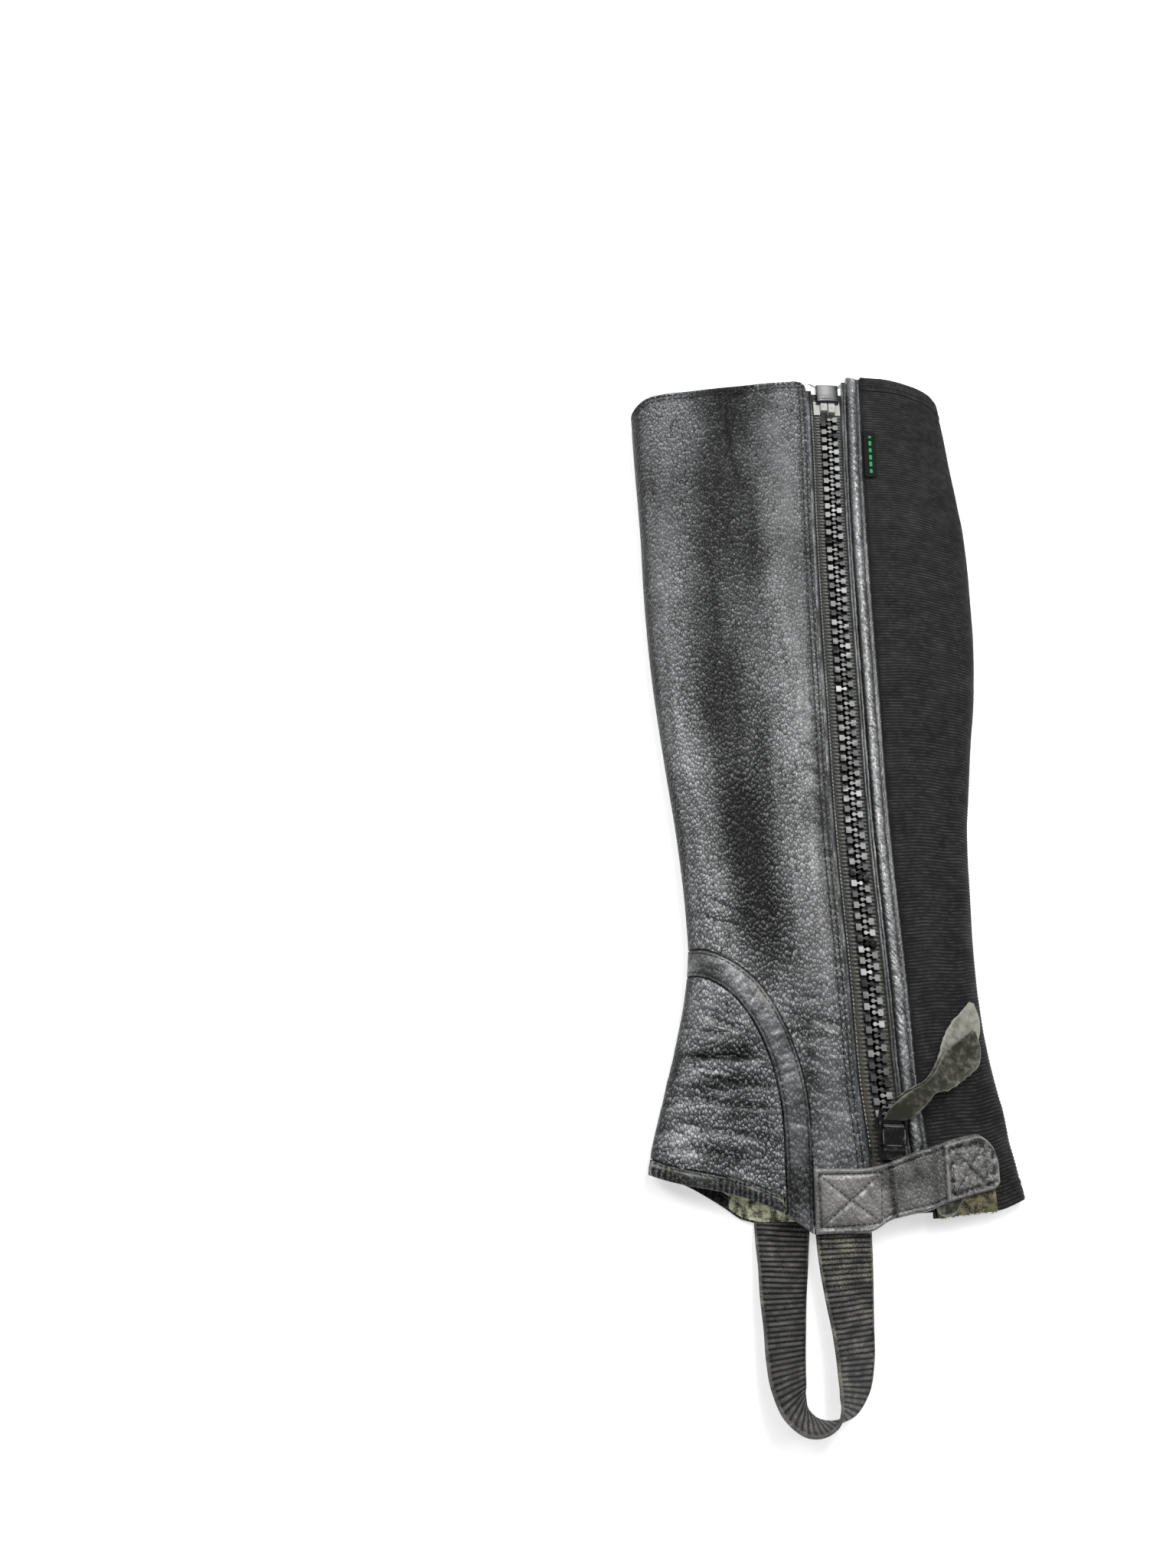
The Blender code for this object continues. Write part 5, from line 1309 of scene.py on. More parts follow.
# ---- zip
@dataclass
class Zip:
    """Tapes, moulded teeth, retainer box and pins, and the leather strips beside the chain."""

    palette: Palette
    top: float = 254.0
    bottom: float = -163.5
    chain_top: float = 238.0
    chain_bottom: float = -137.0
    pitch: float = 5.3
    tooth_depth: float = 3.4
    edge_bottom: float = -176.0
    bed: float = -1.9
    roll_bed: float = -2.0
    roll_top: float = 263.2
    box_low: float = 244.4
    box_high: float = 256.0
    box_half: float = 6.2
    pin_top: float = 244.2

    def tape(self, name: str, offsets: Array) -> Piece:
        """One tape, with pale ticks beside the teeth and dirt towards the ankle.

        Args: name: piece's name. offsets: places across the zip.
        Returns: the tape.
        """
        phi, y, off = LEG.beside_zip(np.linspace(self.bottom, self.top - 2.0, 620), offsets)
        lift = -2.35 + 0.10 * WRINKLE(y / 3.0, off / 2.0)
        marks = {"tick": bell(np.abs(off) - 5.4, 1.15) + 0.25 * bell(np.abs(off) - 7.4, 0.6),
                 "dirt": ease(-y, -60.0, 150.0) * 0.8 * bell(np.abs(off) - 7.0, 2.5)}
        return skin_wall(name, phi, y, lift, lift - 0.8, self.palette.tape, marks, 4)

    def edge_strip(self) -> Piece:
        """Returns: turned leather edge under the leg panel's rim, lower than it."""
        offsets = np.array([-12.4, -11.2, -10.4, -9.7, -9.2, -8.8, -8.5, -8.35])
        phi, y, off = LEG.beside_zip(np.linspace(self.edge_bottom, self.top - 1.0, 700), offsets)
        lift = (-0.55 + 0.22 * WRINKLE(y / 2.6, off / 1.5) - 0.35 * bell(off + 9.8, 0.25)
                - rounded(offsets[-1] - off, 0.9) + 0.12 * bell(off + 9.1, 0.3))
        # The groove in the strip is painted darker as shade.
        marks = {"smooth": 0.8 + 0 * y, "tone_and_painted_light": 0.55 + 0.3 * WAVE(y / 8.0, off) - 0.9 * bell(off + 9.8, 0.3),
                 "wear": 0.2 + 0.3 * WAVE(y / 5.0, off)}
        return skin_wall("zip_edge_strip", phi, y, lift, self.bed, self.palette.facing, marks, 4)

    def edge_beads(self) -> Piece:
        """Returns: short bright stitches along the turned edge."""
        y = np.linspace(-150.0, 240.0, 900)
        rows = [on_skin(LEG.zip_x(y) - 9.15, y, -0.42)]
        return Thread(pitch=1.9, fill=0.62, radius=0.3, sink=-0.1).sew("zip_edge_beads", rows,
                                                                       self.palette.pale_thread)

    def tooth(self) -> Array:
        """Returns: the outline of a tooth, square head outside, narrow neck, round knob past the middle."""
        turn = np.radians(np.linspace(-150.0, 150.0, 11))
        knob = np.stack([0.05 + 1.12 * np.cos(turn), 1.12 * np.sin(turn)], axis=1)
        half = np.array([(-1.05, 0.52), (-1.7, 0.52), (-1.8, 1.35), (-2.1, 1.68), (-4.3, 1.68), (-4.6, 1.35)])
        return np.concatenate([half[::-1] * (1, -1), knob, half])

    def teeth(self) -> Piece:
        """Returns: interlocking teeth, each tilted a little, with a bevelled top."""
        outline = self.tooth()
        ahead, behind = np.roll(outline, -1, axis=0), np.roll(outline, 1, axis=0)
        run = ahead - behind
        inward = np.stack([-run[:, 1], run[:, 0]], axis=1) / np.linalg.norm(run, axis=1)[:, None]
        levels = np.array([-self.tooth_depth, 0.12, 0.38, 0.5])
        inset = np.array([0.0, 0.0, 0.07, 0.22])
        count = int((self.chain_top - self.chain_bottom - 2.4) / self.pitch * 2)
        place = self.chain_bottom + 1.6 + np.arange(count) * self.pitch / 2
        rng = np.random.default_rng(5)
        tilt, lean, rise = (rng.normal(0.0, spread, (count, 1, 1)) for spread in (0.045, 0.05, 0.05))
        shape = outline[None, :, :] + inward[None, :, :] * inset[:, None, None]
        side = np.where(np.arange(count) % 2 == 0, 1.0, -1.0)[:, None, None]
        u = shape[None, :, :, 0] * side
        v = shape[None, :, :, 1] + place[:, None, None]
        n = levels[None, :, None] + rise + tilt * u + lean * shape[None, :, :, 1]
        points = LEG.skin(LEG.phi(LEG.zip_x(v) + u, v), v, n)
        sides, rings = len(outline), len(levels)
        k = np.arange(sides)
        wall = np.stack([k, (k + 1) % sides, (k + 1) % sides + sides, k + sides], axis=1)
        one = [(face + ring * sides).tolist() for ring in range(rings - 1) for face in wall]
        one += [k[::-1].tolist(), (k + (rings - 1) * sides).tolist()]
        faces = [[i + tooth * sides * rings for i in face] for tooth in range(count) for face in one]
        # Painted highlight on each tooth's top and bevel, its strength random from tooth to tooth (worn); the
        # sides stay dark as painted shade.
        worn = rng.uniform(0.35, 1.0, (count, 1, 1)) ** 2
        tone_and_painted_light = np.array([0.0, 0.0, 0.35, 1.0])[None, :, None] * worn
        return add_mesh("zip_teeth", points, faces, self.palette.teeth,
                        marks={"tone_and_painted_light": tone_and_painted_light + np.zeros(u.shape)}, sharp=38.0)

    def box(self) -> Piece:
        """Returns: the retainer box, a crowned moulding with rounded rims, bare on top."""
        shares = edged(22, 0.02, 0.06)
        phi, y, off = LEG.beside_zip(self.box_low + (self.box_high - self.box_low) * shares,
                                     self.box_half * (2.0 * shares - 1.0))
        gap = np.minimum(np.minimum(self.box_half - np.abs(off), y - self.box_low), self.box_high - y)
        groove = bell(y - self.box_low - 1.8, 0.4)
        lift = 1.25 + 0.75 * np.sqrt(1 - (off / 6.6) ** 2) - rounded(gap, 1.3) - 0.6 * groove
        # Painted highlight over the upper part of the crown (crown), painted shade towards one side, and the
        # rims painted dark as shade.
        crown = 0.45 * bell(off + 1.5, 3.4) * ease(y, self.box_low + 1.6, self.box_low + 5.6)
        tone_and_painted_light = (0.30 + crown - 0.25 * ease(off, 2.0, 5.6)) * ease(gap, 0.1, 0.9)
        return skin_wall("zip_retainer_box", phi, y, lift, self.bed, self.palette.box, {"tone_and_painted_light": tone_and_painted_light})

    def pins(self) -> Piece:
        """Returns: two pale pins below the box, the right one longer, each with a dimple."""
        made = []
        for left, right, low in ((-4.0, -0.25, 239.2), (0.25, 4.0, 238.1)):
            phi, y, off = LEG.beside_zip(low + (self.pin_top - low) * edged(16, 0.03, 0.09),
                                         left + (right - left) * edged(12, 0.04, 0.12))
            gap = np.minimum(np.minimum(off - left, right - off), np.minimum(y - low, self.pin_top - y))
            hole = bell(np.hypot(off - (left + right) / 2, y - low - 2.6), 0.62)
            lift = 0.6 - rounded(gap, 0.6) - 0.9 * hole
            made.append(skin_wall("pin", phi, y, lift, -3.4, self.palette.pins))
        return joined("zip_pin_blocks", made)

    def film(self) -> Piece:
        """Returns: stiff film that keeps each tape from fraying beside the pins."""
        made = []
        for left, right in ((-7.6, -4.2), (4.2, 7.2)):
            phi, y, off = LEG.beside_zip(self.box_low - 7.0 + 9.0 * edged(16, 0.02, 0.06),
                                         left + (right - left) * edged(6, 0.04, 0.12))
            lift = -1.5 + 0.12 * WRINKLE(y / 2.0, off)
            made.append(skin_wall("film", phi, y, lift, lift - 0.7, self.palette.pins))
        return joined("zip_tape_film", made)

    def facing(self) -> Piece:
        """Returns: folded strip between the tape and the roll."""
        offsets = np.array([6.9, 7.0, 7.3, 7.8, 8.05, 8.3, 8.7, 9.1, 9.35])
        phi, y, off = LEG.beside_zip(np.linspace(self.edge_bottom, 259.5, 760), offsets, 1.0)
        lift = (-0.1 + 0.24 * WRINKLE(y / 3.4 + off, off / 1.6) - 0.4 * bell(off - 8.05, 0.22)
                - rounded(np.minimum(off - offsets[0], 9.36 - off), 0.4))
        # The fold's groove is painted darker as shade.
        marks = {"smooth": 0.8 + 0 * y,
                 "tone_and_painted_light": 0.75 + 0.3 * WAVE(y / 11.0, off) - 0.9 * bell(off - 8.05, 0.2),
                 "wear": 0.25 + 0.3 * WAVE(y / 6.0, off)}
        return skin_wall("zip_facing_strip", phi, y, lift, self.roll_bed, self.palette.facing, marks, 4)

    def roll(self) -> Piece:
        """Returns: padded roll with twisted wrinkles, 2.3 sin high over its width, and its flange."""
        bead = np.linspace(0.0, math.pi, 25)
        flat = np.array([15.25, 15.6, 16.1, 16.6, 17.1, 17.5, 17.7])
        offsets = np.append(9.7 + 5.3 * (1 - np.cos(bead)) / 2, flat)
        rise = np.append(np.sin(bead) ** 0.8, 0 * flat)[None, :]
        phi, y, off = LEG.beside_zip(np.linspace(self.edge_bottom, self.roll_top, 1000), offsets, 1.0)
        ends = 0.25 + 0.75 * np.clip((y - (self.edge_bottom + 20.0)) / 8.0, 0.0, 1.0)
        hood = np.sqrt(1 - np.clip(1 - (self.roll_top - y) / 4.0, 0, 1) ** 2)
        twist = np.abs(WRINKLE((y + 1.1 * off) / 2.3, off / 5.0 + y / 40.0, 2))
        curl = WRINKLE((y - 0.8 * off) / 3.6 + 40.0, off / 4.0)
        wrinkle = (0.42 * twist - 0.22 + 0.2 * curl + 0.25 * WAVE(y / 8.0, off * 0)) * rise
        flange = (0.12 * WRINKLE(y / 1.6, off / 0.8) - 0.3 * bell(off - 15.35, 0.3)) * (rise < 1e-6)
        lift = (2.3 * rise + wrinkle) * ends * hood + flange - rounded(17.72 - off, 0.35) - 0.6 * (1 - hood)
        # A painted highlight along the roll's crown with painted shade down its sides, lighter on the
        # wrinkles' crests as highlight, and a light line at the flange.
        marks = {"smooth": 0.55 + 0 * y,
                 "tone_and_painted_light": 0.12 + 1.1 * bell(off - 11.9, 1.7) + 0.7 * wrinkle + 0.2 * WAVE(y / 15.0, off / 6.0)
                 + 0.5 * bell(off - 16.5, 0.6),
                 "wear": 0.85 * bell(off - 16.5, 0.55) * (0.55 + 0.6 * WAVE(y / 4.0, off)) + 0 * y}
        return skin_wall("zip_roll", phi, y, lift, self.roll_bed, self.palette.roll, marks, 5)

    def corner_threads(self) -> Piece:
        """Returns: cream tape ends that stick out beside the box's upper corners."""
        ends = Knots("start end low high", [
            (-5.6, -10.4, 255, 257.6), (5.6, 9.4, 255.4, 258.4), (5.4, 8.6, 254.2, 256.4)])
        rows = []
        for start, end, low, high in zip(*ends.column.values()):
            y = np.linspace(low, high, 9)
            rows.append(on_skin(LEG.zip_x(y) + np.linspace(start, end, 9), y, -0.3))
        return Thread(pitch=9.0, fill=1.0, radius=0.5, sink=0.0).sew("box_corner_threads", rows,
                                                                    self.palette.pale_thread)

    def bridge_glints(self) -> Piece:
        """Returns: bright rods along the edges of the slider's bridge, which stand for painted glints there.
        """
        edges = (((17.4, -141.0, 26.6), (25.6, -141.2, 26.0)),
                 ((16.8, -149.0, 25.9), (25.8, -149.3, 25.2)),
                 ((16.5, -142.0, 26.4), (16.3, -148.6, 25.8)),
                 ((26.3, -142.2, 25.8), (26.1, -148.8, 25.2)))
        out = np.tile((0.07, -0.09, 0.99), (9, 1))
        rows = [(np.linspace(start, end, 9), out) for start, end in edges]
        return Thread(pitch=20.0, fill=0.96, radius=0.24, sink=0.0).sew("slider_bridge_glints", rows,
                                                                       self.palette.glint_enamel)

    def frayed_thread(self) -> Piece:
        """Returns: pale seam thread on the flange, worn away in places."""
        y = np.linspace(-150.0, 258.0, 1200)
        x = LEG.zip_x(y) + 16.55 + LEG.flare(y) + 0.15 * TREMOR(y / 1.2, y * 0)
        rings = Thread(pitch=1.7, fill=0.95, radius=0.17, sink=-0.02).rings(*on_skin(x, y, 0.16))
        worn = WAVE(np.arange(len(rings)) / 5.0, np.zeros(len(rings)))
        return add_rods("flange_frayed_thread", rings[worn > -0.35], self.palette.pale_thread)


def joined(name: str, parts: list[Piece]) -> Piece:
    """Several objects of one finish as one, with the meshes of the rest taken in.

    Args: name: the new name. parts: the objects.
    Returns: the first, which holds them all.
    """
    shape = bmesh.new()
    for part in parts:
        shape.from_mesh(part.data)
    mesh = parts[0].data
    shape.to_mesh(mesh)
    shape.free()
    mesh.name = parts[0].name = name
    for part in parts[1:]:
        bpy.data.objects.remove(part, do_unlink=True)
    return parts[0]


# ---- strap and patches
@dataclass
class AnkleStrap:
    """Strap over the zip's foot, its sewn end patch, and the loop patch that it fastens to."""

    palette: Palette
    thickness: float = 2.0
    patch: float = 1.5
    patch_start: float = 43.5
    loop_top: float = 1.8
    loop_ends: tuple[float, float] = (40.6, 69.0)
    tab_ends: tuple[float, float] = (39.6, 53.1)
    edges = Knots("x top bottom", [
        (-14.6, -158.8, -186.6), (-2, -158.8, -185.9), (11, -158.4, -185), (18, -156.4, -181),
        (26, -153.4, -178.9), (35, -150.6, -176.8), (45, -147.6, -173.4), (55, -145, -170.8),
        (62, -144.3, -169.2), (66.5, -148, -168.2), (69.4, -157, -165.4)])
    holes = ((42.3, -157.6), (66.0, -161.8), (20.3, -160.0))
    root_box = ((-12.8, -183.6), (14.6, -181.6), (15.6, -160.4), (-12.8, -161.4))
    end_box = ((47.0, -170.2), (63.6, -166.4), (62.6, -147.8), (47.4, -150.2))

    def lines(self, corners: tuple) -> list[tuple]:
        """Both ends of each sewn line round four corners and over both diagonals."""
        return [(corners[i], corners[k]) for i, k in ((0, 1), (1, 2), (2, 3), (3, 0), (0, 2), (1, 3))]

    def dents(self, corners: tuple, depth: float) -> Knots:
        """The sewn lines as creases of a depth."""
        return Knots("x0 y0 x1 y1 width depth", [(*a, *b, 1.0, depth) for a, b in self.lines(corners)])

    def under(self, x: Array, y: Array) -> Array:
        """How far out of the skin the strap's lower face lies, to pass over what is beneath it.

        Args: x, y: places.
        Returns: the distance.
        """
        off = x - LEG.zip_x(y)
        near = np.clip((y + 168.0) / 9.0, 0.0, 1.0)
        return (0.45 + 0.6 * bell(off, 9.0) + 1.4 * bell(off - 12.5, 5.0)
                + self.loop_top * np.clip((off - 10.0) / 6.0, 0.0, 1.0)
                + 3.4 * np.exp(-(off / 8.5) ** 4) * near ** 2 * (3.0 - 2.0 * near))

    def face(self, x: Array, y: Array) -> Array:
        """Lift of the strap's upper face: worn wrinkles run slantwise, with a crease by the patch.

        Args: x, y: places.
        Returns: the lift.
        """
        wrinkle = 0.24 * WRINKLE((x + 0.55 * y) / 2.4, (y - 0.4 * x) / 8.0, 2) + 0.2 * WAVE(x / 7.0, y / 8.0)
        crease = 0.75 * bell(x - 20.0 + 0.12 * (y + 170), 1.2) + 0.3 * bell(x - 40.5, 1.0)
        sewn = self.dents(self.root_box, 0.55).creases(x, y)
        return self.under(x, y) + self.thickness + wrinkle - crease - np.minimum(sewn, 0.7)

    def grid(self, rows: Array, inset: float) -> tuple[Array, Array, Array]:
        """Places across the strap at rows of x, top, bottom, and their gap to the cut edge.

        Args: rows: x, top and bottom of the strap. inset: how far inside its edges the grid ends.
        Returns: x, y and the gap.
        """
        top, bottom = rows[:, 1] - inset, rows[:, 2] + inset
        y = between(bottom, top, edged(40, 0.01, 0.03))
        x = rows[:, 0] + 0 * y
        ends = np.minimum(x - rows[0, 0], rows[-1, 0] - x)
        return x, y, np.minimum(np.minimum(y - bottom, top - y), ends)

    def strap(self) -> Piece:
        """Returns: the strap."""
        x, y, gap = self.grid(self.edges.path("x top bottom", 210), 0.0)
        lift = self.face(x, y) - rounded(gap, 0.8) + 0.25 * bell(gap - 1.2, 0.7) - 0.25 * bell(gap - 2.4, 0.5)
        root = 1 - ease(x, 15.0, 20.0)
        # The groove inside the edge and the crease by the patch are painted darker as shade.
        marks = {"smooth": 0.82 + 0.13 * root,
                 "tone_and_painted_light": 0.78 + 0.32 * root + 0.28 * WAVE(x / 8.0, y / 9.0, 2) - 0.5 * bell(gap - 2.4, 0.5)
                 - 0.5 * bell(x - 20.0 + 0.12 * (y + 170), 1.4),
                 "wear": 0.22 * root + 0.42 * bell(gap, 0.9) + 0.1 * WAVE(x / 5.0, y / 5.0)}
        return skin_wall("ankle_strap_leather", LEG.phi(x, y), y, lift, self.under(x, y), self.palette.strap,
                         marks, 3)

    def end_patch(self) -> Piece:
        """Returns: patch sewn over the strap's end, with a raised worn rim."""
        rows = self.edges.path("x top bottom", 260)
        rows = rows[rows[:, 0] > self.patch_start]
        x, y, gap = self.grid(rows, 0.7)
        base = self.under(x, y) + self.thickness
        ruck = 0.34 * np.abs(WRINKLE((x - 0.3 * y) / 3.0, (y + 0.2 * x) / 3.4, 2))
        sewn = np.minimum(self.dents(self.end_box, 0.5).creases(x, y), 0.6)
        lift = (base + 0.35 + self.patch * 0.72 + ruck + 0.45 * bell(gap - 1.0, 0.8)
                - 0.35 * bell(gap - 2.6, 0.7) - rounded(gap, 0.9) - sewn)
        for hx, hy in self.holes:
            lift = lift - 1.1 * bell(np.hypot(x - hx, y - hy), 0.75)
        # The rucks are painted lighter on their crests as highlight; the groove inside the rim and the sewn
        # lines are painted darker as shade.
        marks = {"smooth": 0.85 + 0 * x,
                 "tone_and_painted_light": 0.86 + 2.0 * (ruck - 0.12) - 0.4 * bell(gap - 2.6, 0.7) - 0.5 * sewn,
                 "wear": 0.85 * bell(gap - 0.7, 0.8) + 0.15 * WAVE(x / 4.0, y / 4.0)}
        return skin_wall("strap_patch_leather", LEG.phi(x, y), y, lift, base + 0.3, self.palette.strap,
                         marks, 3)

    def stitching(self) -> Piece:
        """Returns: boxed crosses on the strap's root and on its end patch."""
        rows = []
        for corners, raised in ((self.root_box, 0.05), (self.end_box, 1.25)):
            for start, end in self.lines(corners):
                x, y = np.linspace(start, end, 60).T
                rows.append(on_skin(x, y, self.face(x, y) + raised))
        return Thread(pitch=2.3, radius=0.22).sew("strap_stitching", rows, self.palette.thread)

    def loops(self) -> Piece:
        """Returns: loop patch under the strap's end, shaggy at its free edge."""
        near, far = self.loop_ends
        x = near + (far - near) * edged(60, 0.01, 0.03)
        edge = ElasticPanel.bottom.at("y", x, "x") + 0.4 + 0.5 * TREMOR(x / 1.2, x * 0)
        y = between(edge, self.edges.at("top", x, "x") - 1.5, edged(50, 0.01, 0.03))
        x = x + 0 * y
        gap = np.minimum(np.minimum(x - near, far - x), y - edge)
        lift = self.loop_top - 0.2 + 0.3 * TREMOR(x / 0.8, y / 0.8, 2) - rounded(gap, 0.7)
        return skin_wall("loop_patch_pile", LEG.phi(x, y), y, np.minimum(lift, 2.1), 1.05, self.palette.dusty)

    def tab(self) -> Piece:
        """Returns: rounded grey tab that covers the loop patch's near end."""
        near, far = self.tab_ends
        x = near + (far - near) * edged(30, 0.03, 0.08)
        low = ElasticPanel.bottom.at("y", x, "x") + 0.2
        low = low + 0.8 * rounded(x - near, 4.5) + 6.0 * ease(x, 47.0, far)
        y = between(low, self.edges.at("bottom", x, "x") + 2.0, edged(26, 0.03, 0.08))
        x = x + 0 * y
        gap = np.minimum(np.minimum(x - near, far - x), y - low)
        lift = 3.1 + 0.25 * WRINKLE(x / 2.6, y / 3.0) - rounded(gap, 0.9)
        return skin_wall("loop_patch_tab", LEG.phi(x, y), y, lift, 1.9, self.palette.suede,
                         {"wear": 0.12 + 0.5 * bell(gap - 0.6, 0.6)})

    def curls(self) -> Piece:
        """Returns: loose loops of yarn along the loop patch's free edge."""
        def spot(a: Array, b: Array) -> tuple[Array, Array]:
            """Places along the edge, most of them close to it."""
            x = 41.0 + 27.6 * a
            return x, ElasticPanel.bottom.at("y", x, "x") + 6.2 * b ** 1.5

        return curls("loop_patch_curls", self.palette.dusty, 420, 31, spot,
                     lambda x, y: on_skin(x, y, 1.75))


def curls(name: str, finish: Finish, count: int, seed: int, spot: callable,
          ground: callable) -> Piece:
    """Small arched loops of yarn, scattered and turned at random.

    Args:
        name: piece's name.
        finish: material.
        count: number of loops.
        seed: makes their places.
        spot: x and y for two shares from 0 to 1.
        ground: points and normals of the cloth at x and y.
    Returns:
        The new object.
    """
    rng = np.random.default_rng(seed)
    x, y = spot(rng.random(count), rng.random(count))
    turn, reach = rng.uniform(0, math.pi, count), rng.uniform(0.5, 1.1, count)
    t = np.linspace(0.0, 1.0, 5)
    gx = x[:, None] + np.cos(turn)[:, None] * (t - 0.5) * reach[:, None] * 1.6
    gy = y[:, None] + np.sin(turn)[:, None] * (t - 0.5) * reach[:, None] * 1.6
    low, out = ground(gx, gy)
    middle = low + out * (np.sin(math.pi * t) * reach[:, None] * 0.6)[..., None]
    side = np.stack([-np.sin(turn), np.cos(turn), 0 * turn], axis=-1)[:, None, None, :]
    around = np.arange(4) * math.pi / 2
    rings = middle[:, :, None, :] + 0.13 * (side * np.cos(around)[None, None, :, None]
                                            + out[:, :, None, :] * np.sin(around)[None, None, :, None])
    return add_rods(name, rings, finish, sharp=80.0)


@dataclass
class InnerPatch:
    """Worn pile patch inside the hidden side, over the root of the stirrup webbing."""

    palette: Palette

    def surface(self, x: Array, y: Array, raise_by: float) -> Array:
        """Points inside the hidden wall, over the webbing where it lies."""
        over = 2.15 * np.clip((x + 47.0) / 5.0, 0.0, 1.0)
        return LEG.skin(-LEG.phi(x, y), y, -2.35 - over - raise_by)

    def build(self) -> Piece:
        """Returns: the patch."""
        x = -51.0 + 36.0 * edged(60, 0.006, 0.02)
        shares = edged(30, 0.01, 0.03)[:, None]
        y = SEAM.hidden_hem.at("y", x, "x")[None, :] + 1.2 + 17.0 * shares
        x = x[None, :] + 0 * y
        pile = 0.75 + 0.35 * TREMOR(x / 0.9, y / 0.9, 2)
        return add_wall("inner_patch_pile", self.surface(x, y, pile), self.surface(x, y, 0.05),
                        self.palette.fuzz)

    def curls(self) -> Piece:
        """Returns: loose loops of yarn over the patch."""
        def spot(a: Array, b: Array) -> tuple[Array, Array]:
            """Places spread over the patch's lower half."""
            x = -50.5 + 34.0 * a
            return x, SEAM.hidden_hem.at("y", x, "x") + 1.4 + 9.0 * b

        up = np.array([0.0, 0.0, 1.0])
        return curls("inner_patch_curls", self.palette.fuzz, 380, 41, spot,
                     lambda x, y: (self.surface(x, y, 0.8), up + 0 * x[..., None]))


@dataclass
class Tag:
    """Bare satin tag sewn into the flange's seam, with a plain row of dashes."""

    palette: Palette
    low: float = 196.5
    high: float = 226.5

    def build(self) -> Piece:
        """Returns: the tag, its free lower corner rounded."""
        y = self.low + (self.high - self.low) * edged(60, 0.004, 0.012)[:, None]
        share = edged(18, 0.02, 0.06)[None, :]
        corner = rounded(y - self.low, 3.0)
        offset = 18.3 + (6.6 - corner) * share
        x = LEG.zip_x(y) + offset + LEG.flare(y)
        y = y + 0 * x
        lift = 0.95 + 0.25 * share ** 2 + 0.12 * WAVE(y / 6.0, x / 4.0)
        dash = (np.abs(share * 6.6 - 3.4) < 0.8) & ((y - self.low - 2.5) % 4.6 < 2.8)
        marks = {"dash": dash * (y < self.high - 3.0) * (y > self.low + 3.0) * 1.0}
        return skin_wall("tag_satin", LEG.phi(x, y), y, lift, lift - 0.6, self.palette.tag, marks)


@dataclass
class Stirrup:
    """Loop of ribbed webbing that passes under the foot."""

    palette: Palette
    width: float = 25.4
    thickness: float = 1.8
    rib: float = 0.58
    pitch: float = 2.12
    steps: int = 8
    line = Knots("x y z roll", [
        (-1.2, -166, 14.6, 2.6), (-1.4, -176, 13.8, 2.6), (-1.3, -188, 12.7, 4), (-0.9, -200, 12, 12),
        (-0.3, -212, 11.5, 23), (0.4, -225, 11.6, 34), (0.4, -239, 12.2, 41), (-1, -249, 13, 49),
        (-4.4, -256.8, 13.5, 62), (-9.6, -261.2, 13.8, 78), (-16.2, -262.6, 14, 92),
        (-22.4, -260.6, 13.6, 108), (-26.8, -255, 12.2, 123), (-28.8, -246.5, 10.8, 134),
        (-29.3, -236, 9.8, 140), (-29, -225, 9, 144), (-28.8, -212, 7.6, 152), (-28, -200, 6, 160),
        (-27.7, -191, 4.6, 169), (-27.3, -184, 3.5, 178), (-27.1, -176, 3.4, 180),
        (-27.1, -168, 3.4, 180)])

    def build(self) -> Piece:
        """Returns: webbing along its line, whose half thickness dips between ribs and at its edges."""
        length = run_along(self.line.path("x y", 60))[-1]
        ribs = int(round(length / self.pitch))
        path = self.line.path("x y z roll", ribs * self.steps + 1)
        centre, roll = path[:, :3], np.radians(path[:, 3])
        along = unit(np.gradient(centre[:, :2], axis=0))
        level = np.stack([along[:, 1], -along[:, 0], np.zeros(len(along))], axis=1)
        side = np.cos(roll)[:, None] * level + np.sin(roll)[:, None] * np.array([0.0, 0.0, 1.0])
        normal = strip_frame(centre, side)
        share = edged(19, 0.012, 0.035)
        across = (share - 0.5) * self.width
        t = np.arange(len(path))[:, None] / self.steps
        gap = self.width / 2 - np.abs(across)[None, :]
        dip = 0.5 - 0.5 * np.cos(2 * math.pi * (t + 0.07 * WAVE(t / 3.0, across[None, :] / 6.0)))
        rib = 1.0 - dip ** 2.6 * ease(gap, 0.4, 1.6)
        run = np.linspace(0.0, length, len(path))[:, None]
        half = (self.thickness / 2 - self.rib * (1 - rib) * (0.85 + 0.15 * TREMOR(t, across[None, :] / 2.0))
                - rounded(gap, 0.7) - 0.12 * bell(gap - 2.0, 0.5))
        base = centre[:, None, :] + across[None, :, None] * side[:, None, :]
        offset = np.maximum(half, 0.16)[..., None] * normal[:, None, :]
        uv = np.stack([across[None, :] + 0 * run, run + 0 * across[None, :]], axis=-1) * MM
        # The shader paints the ribs' tops lighter and the gaps darker, as highlight and shade, and the groove
        # inside each edge darker as shade.
        marks = {"rib": rib * (0.8 + 0.2 * TREMOR(t, across[None, :] / 3.0)) - 0.3 * bell(gap - 2.0, 0.5),
                 "wear": 0.2 * bell(gap, 1.2) + 0.45 * bell(run - 20.0, 22.0) + 0.3 * (run < length * 0.42)}
        return add_wall("stirrup_strap", base + offset, base - offset, self.palette.webbing, uv, marks)


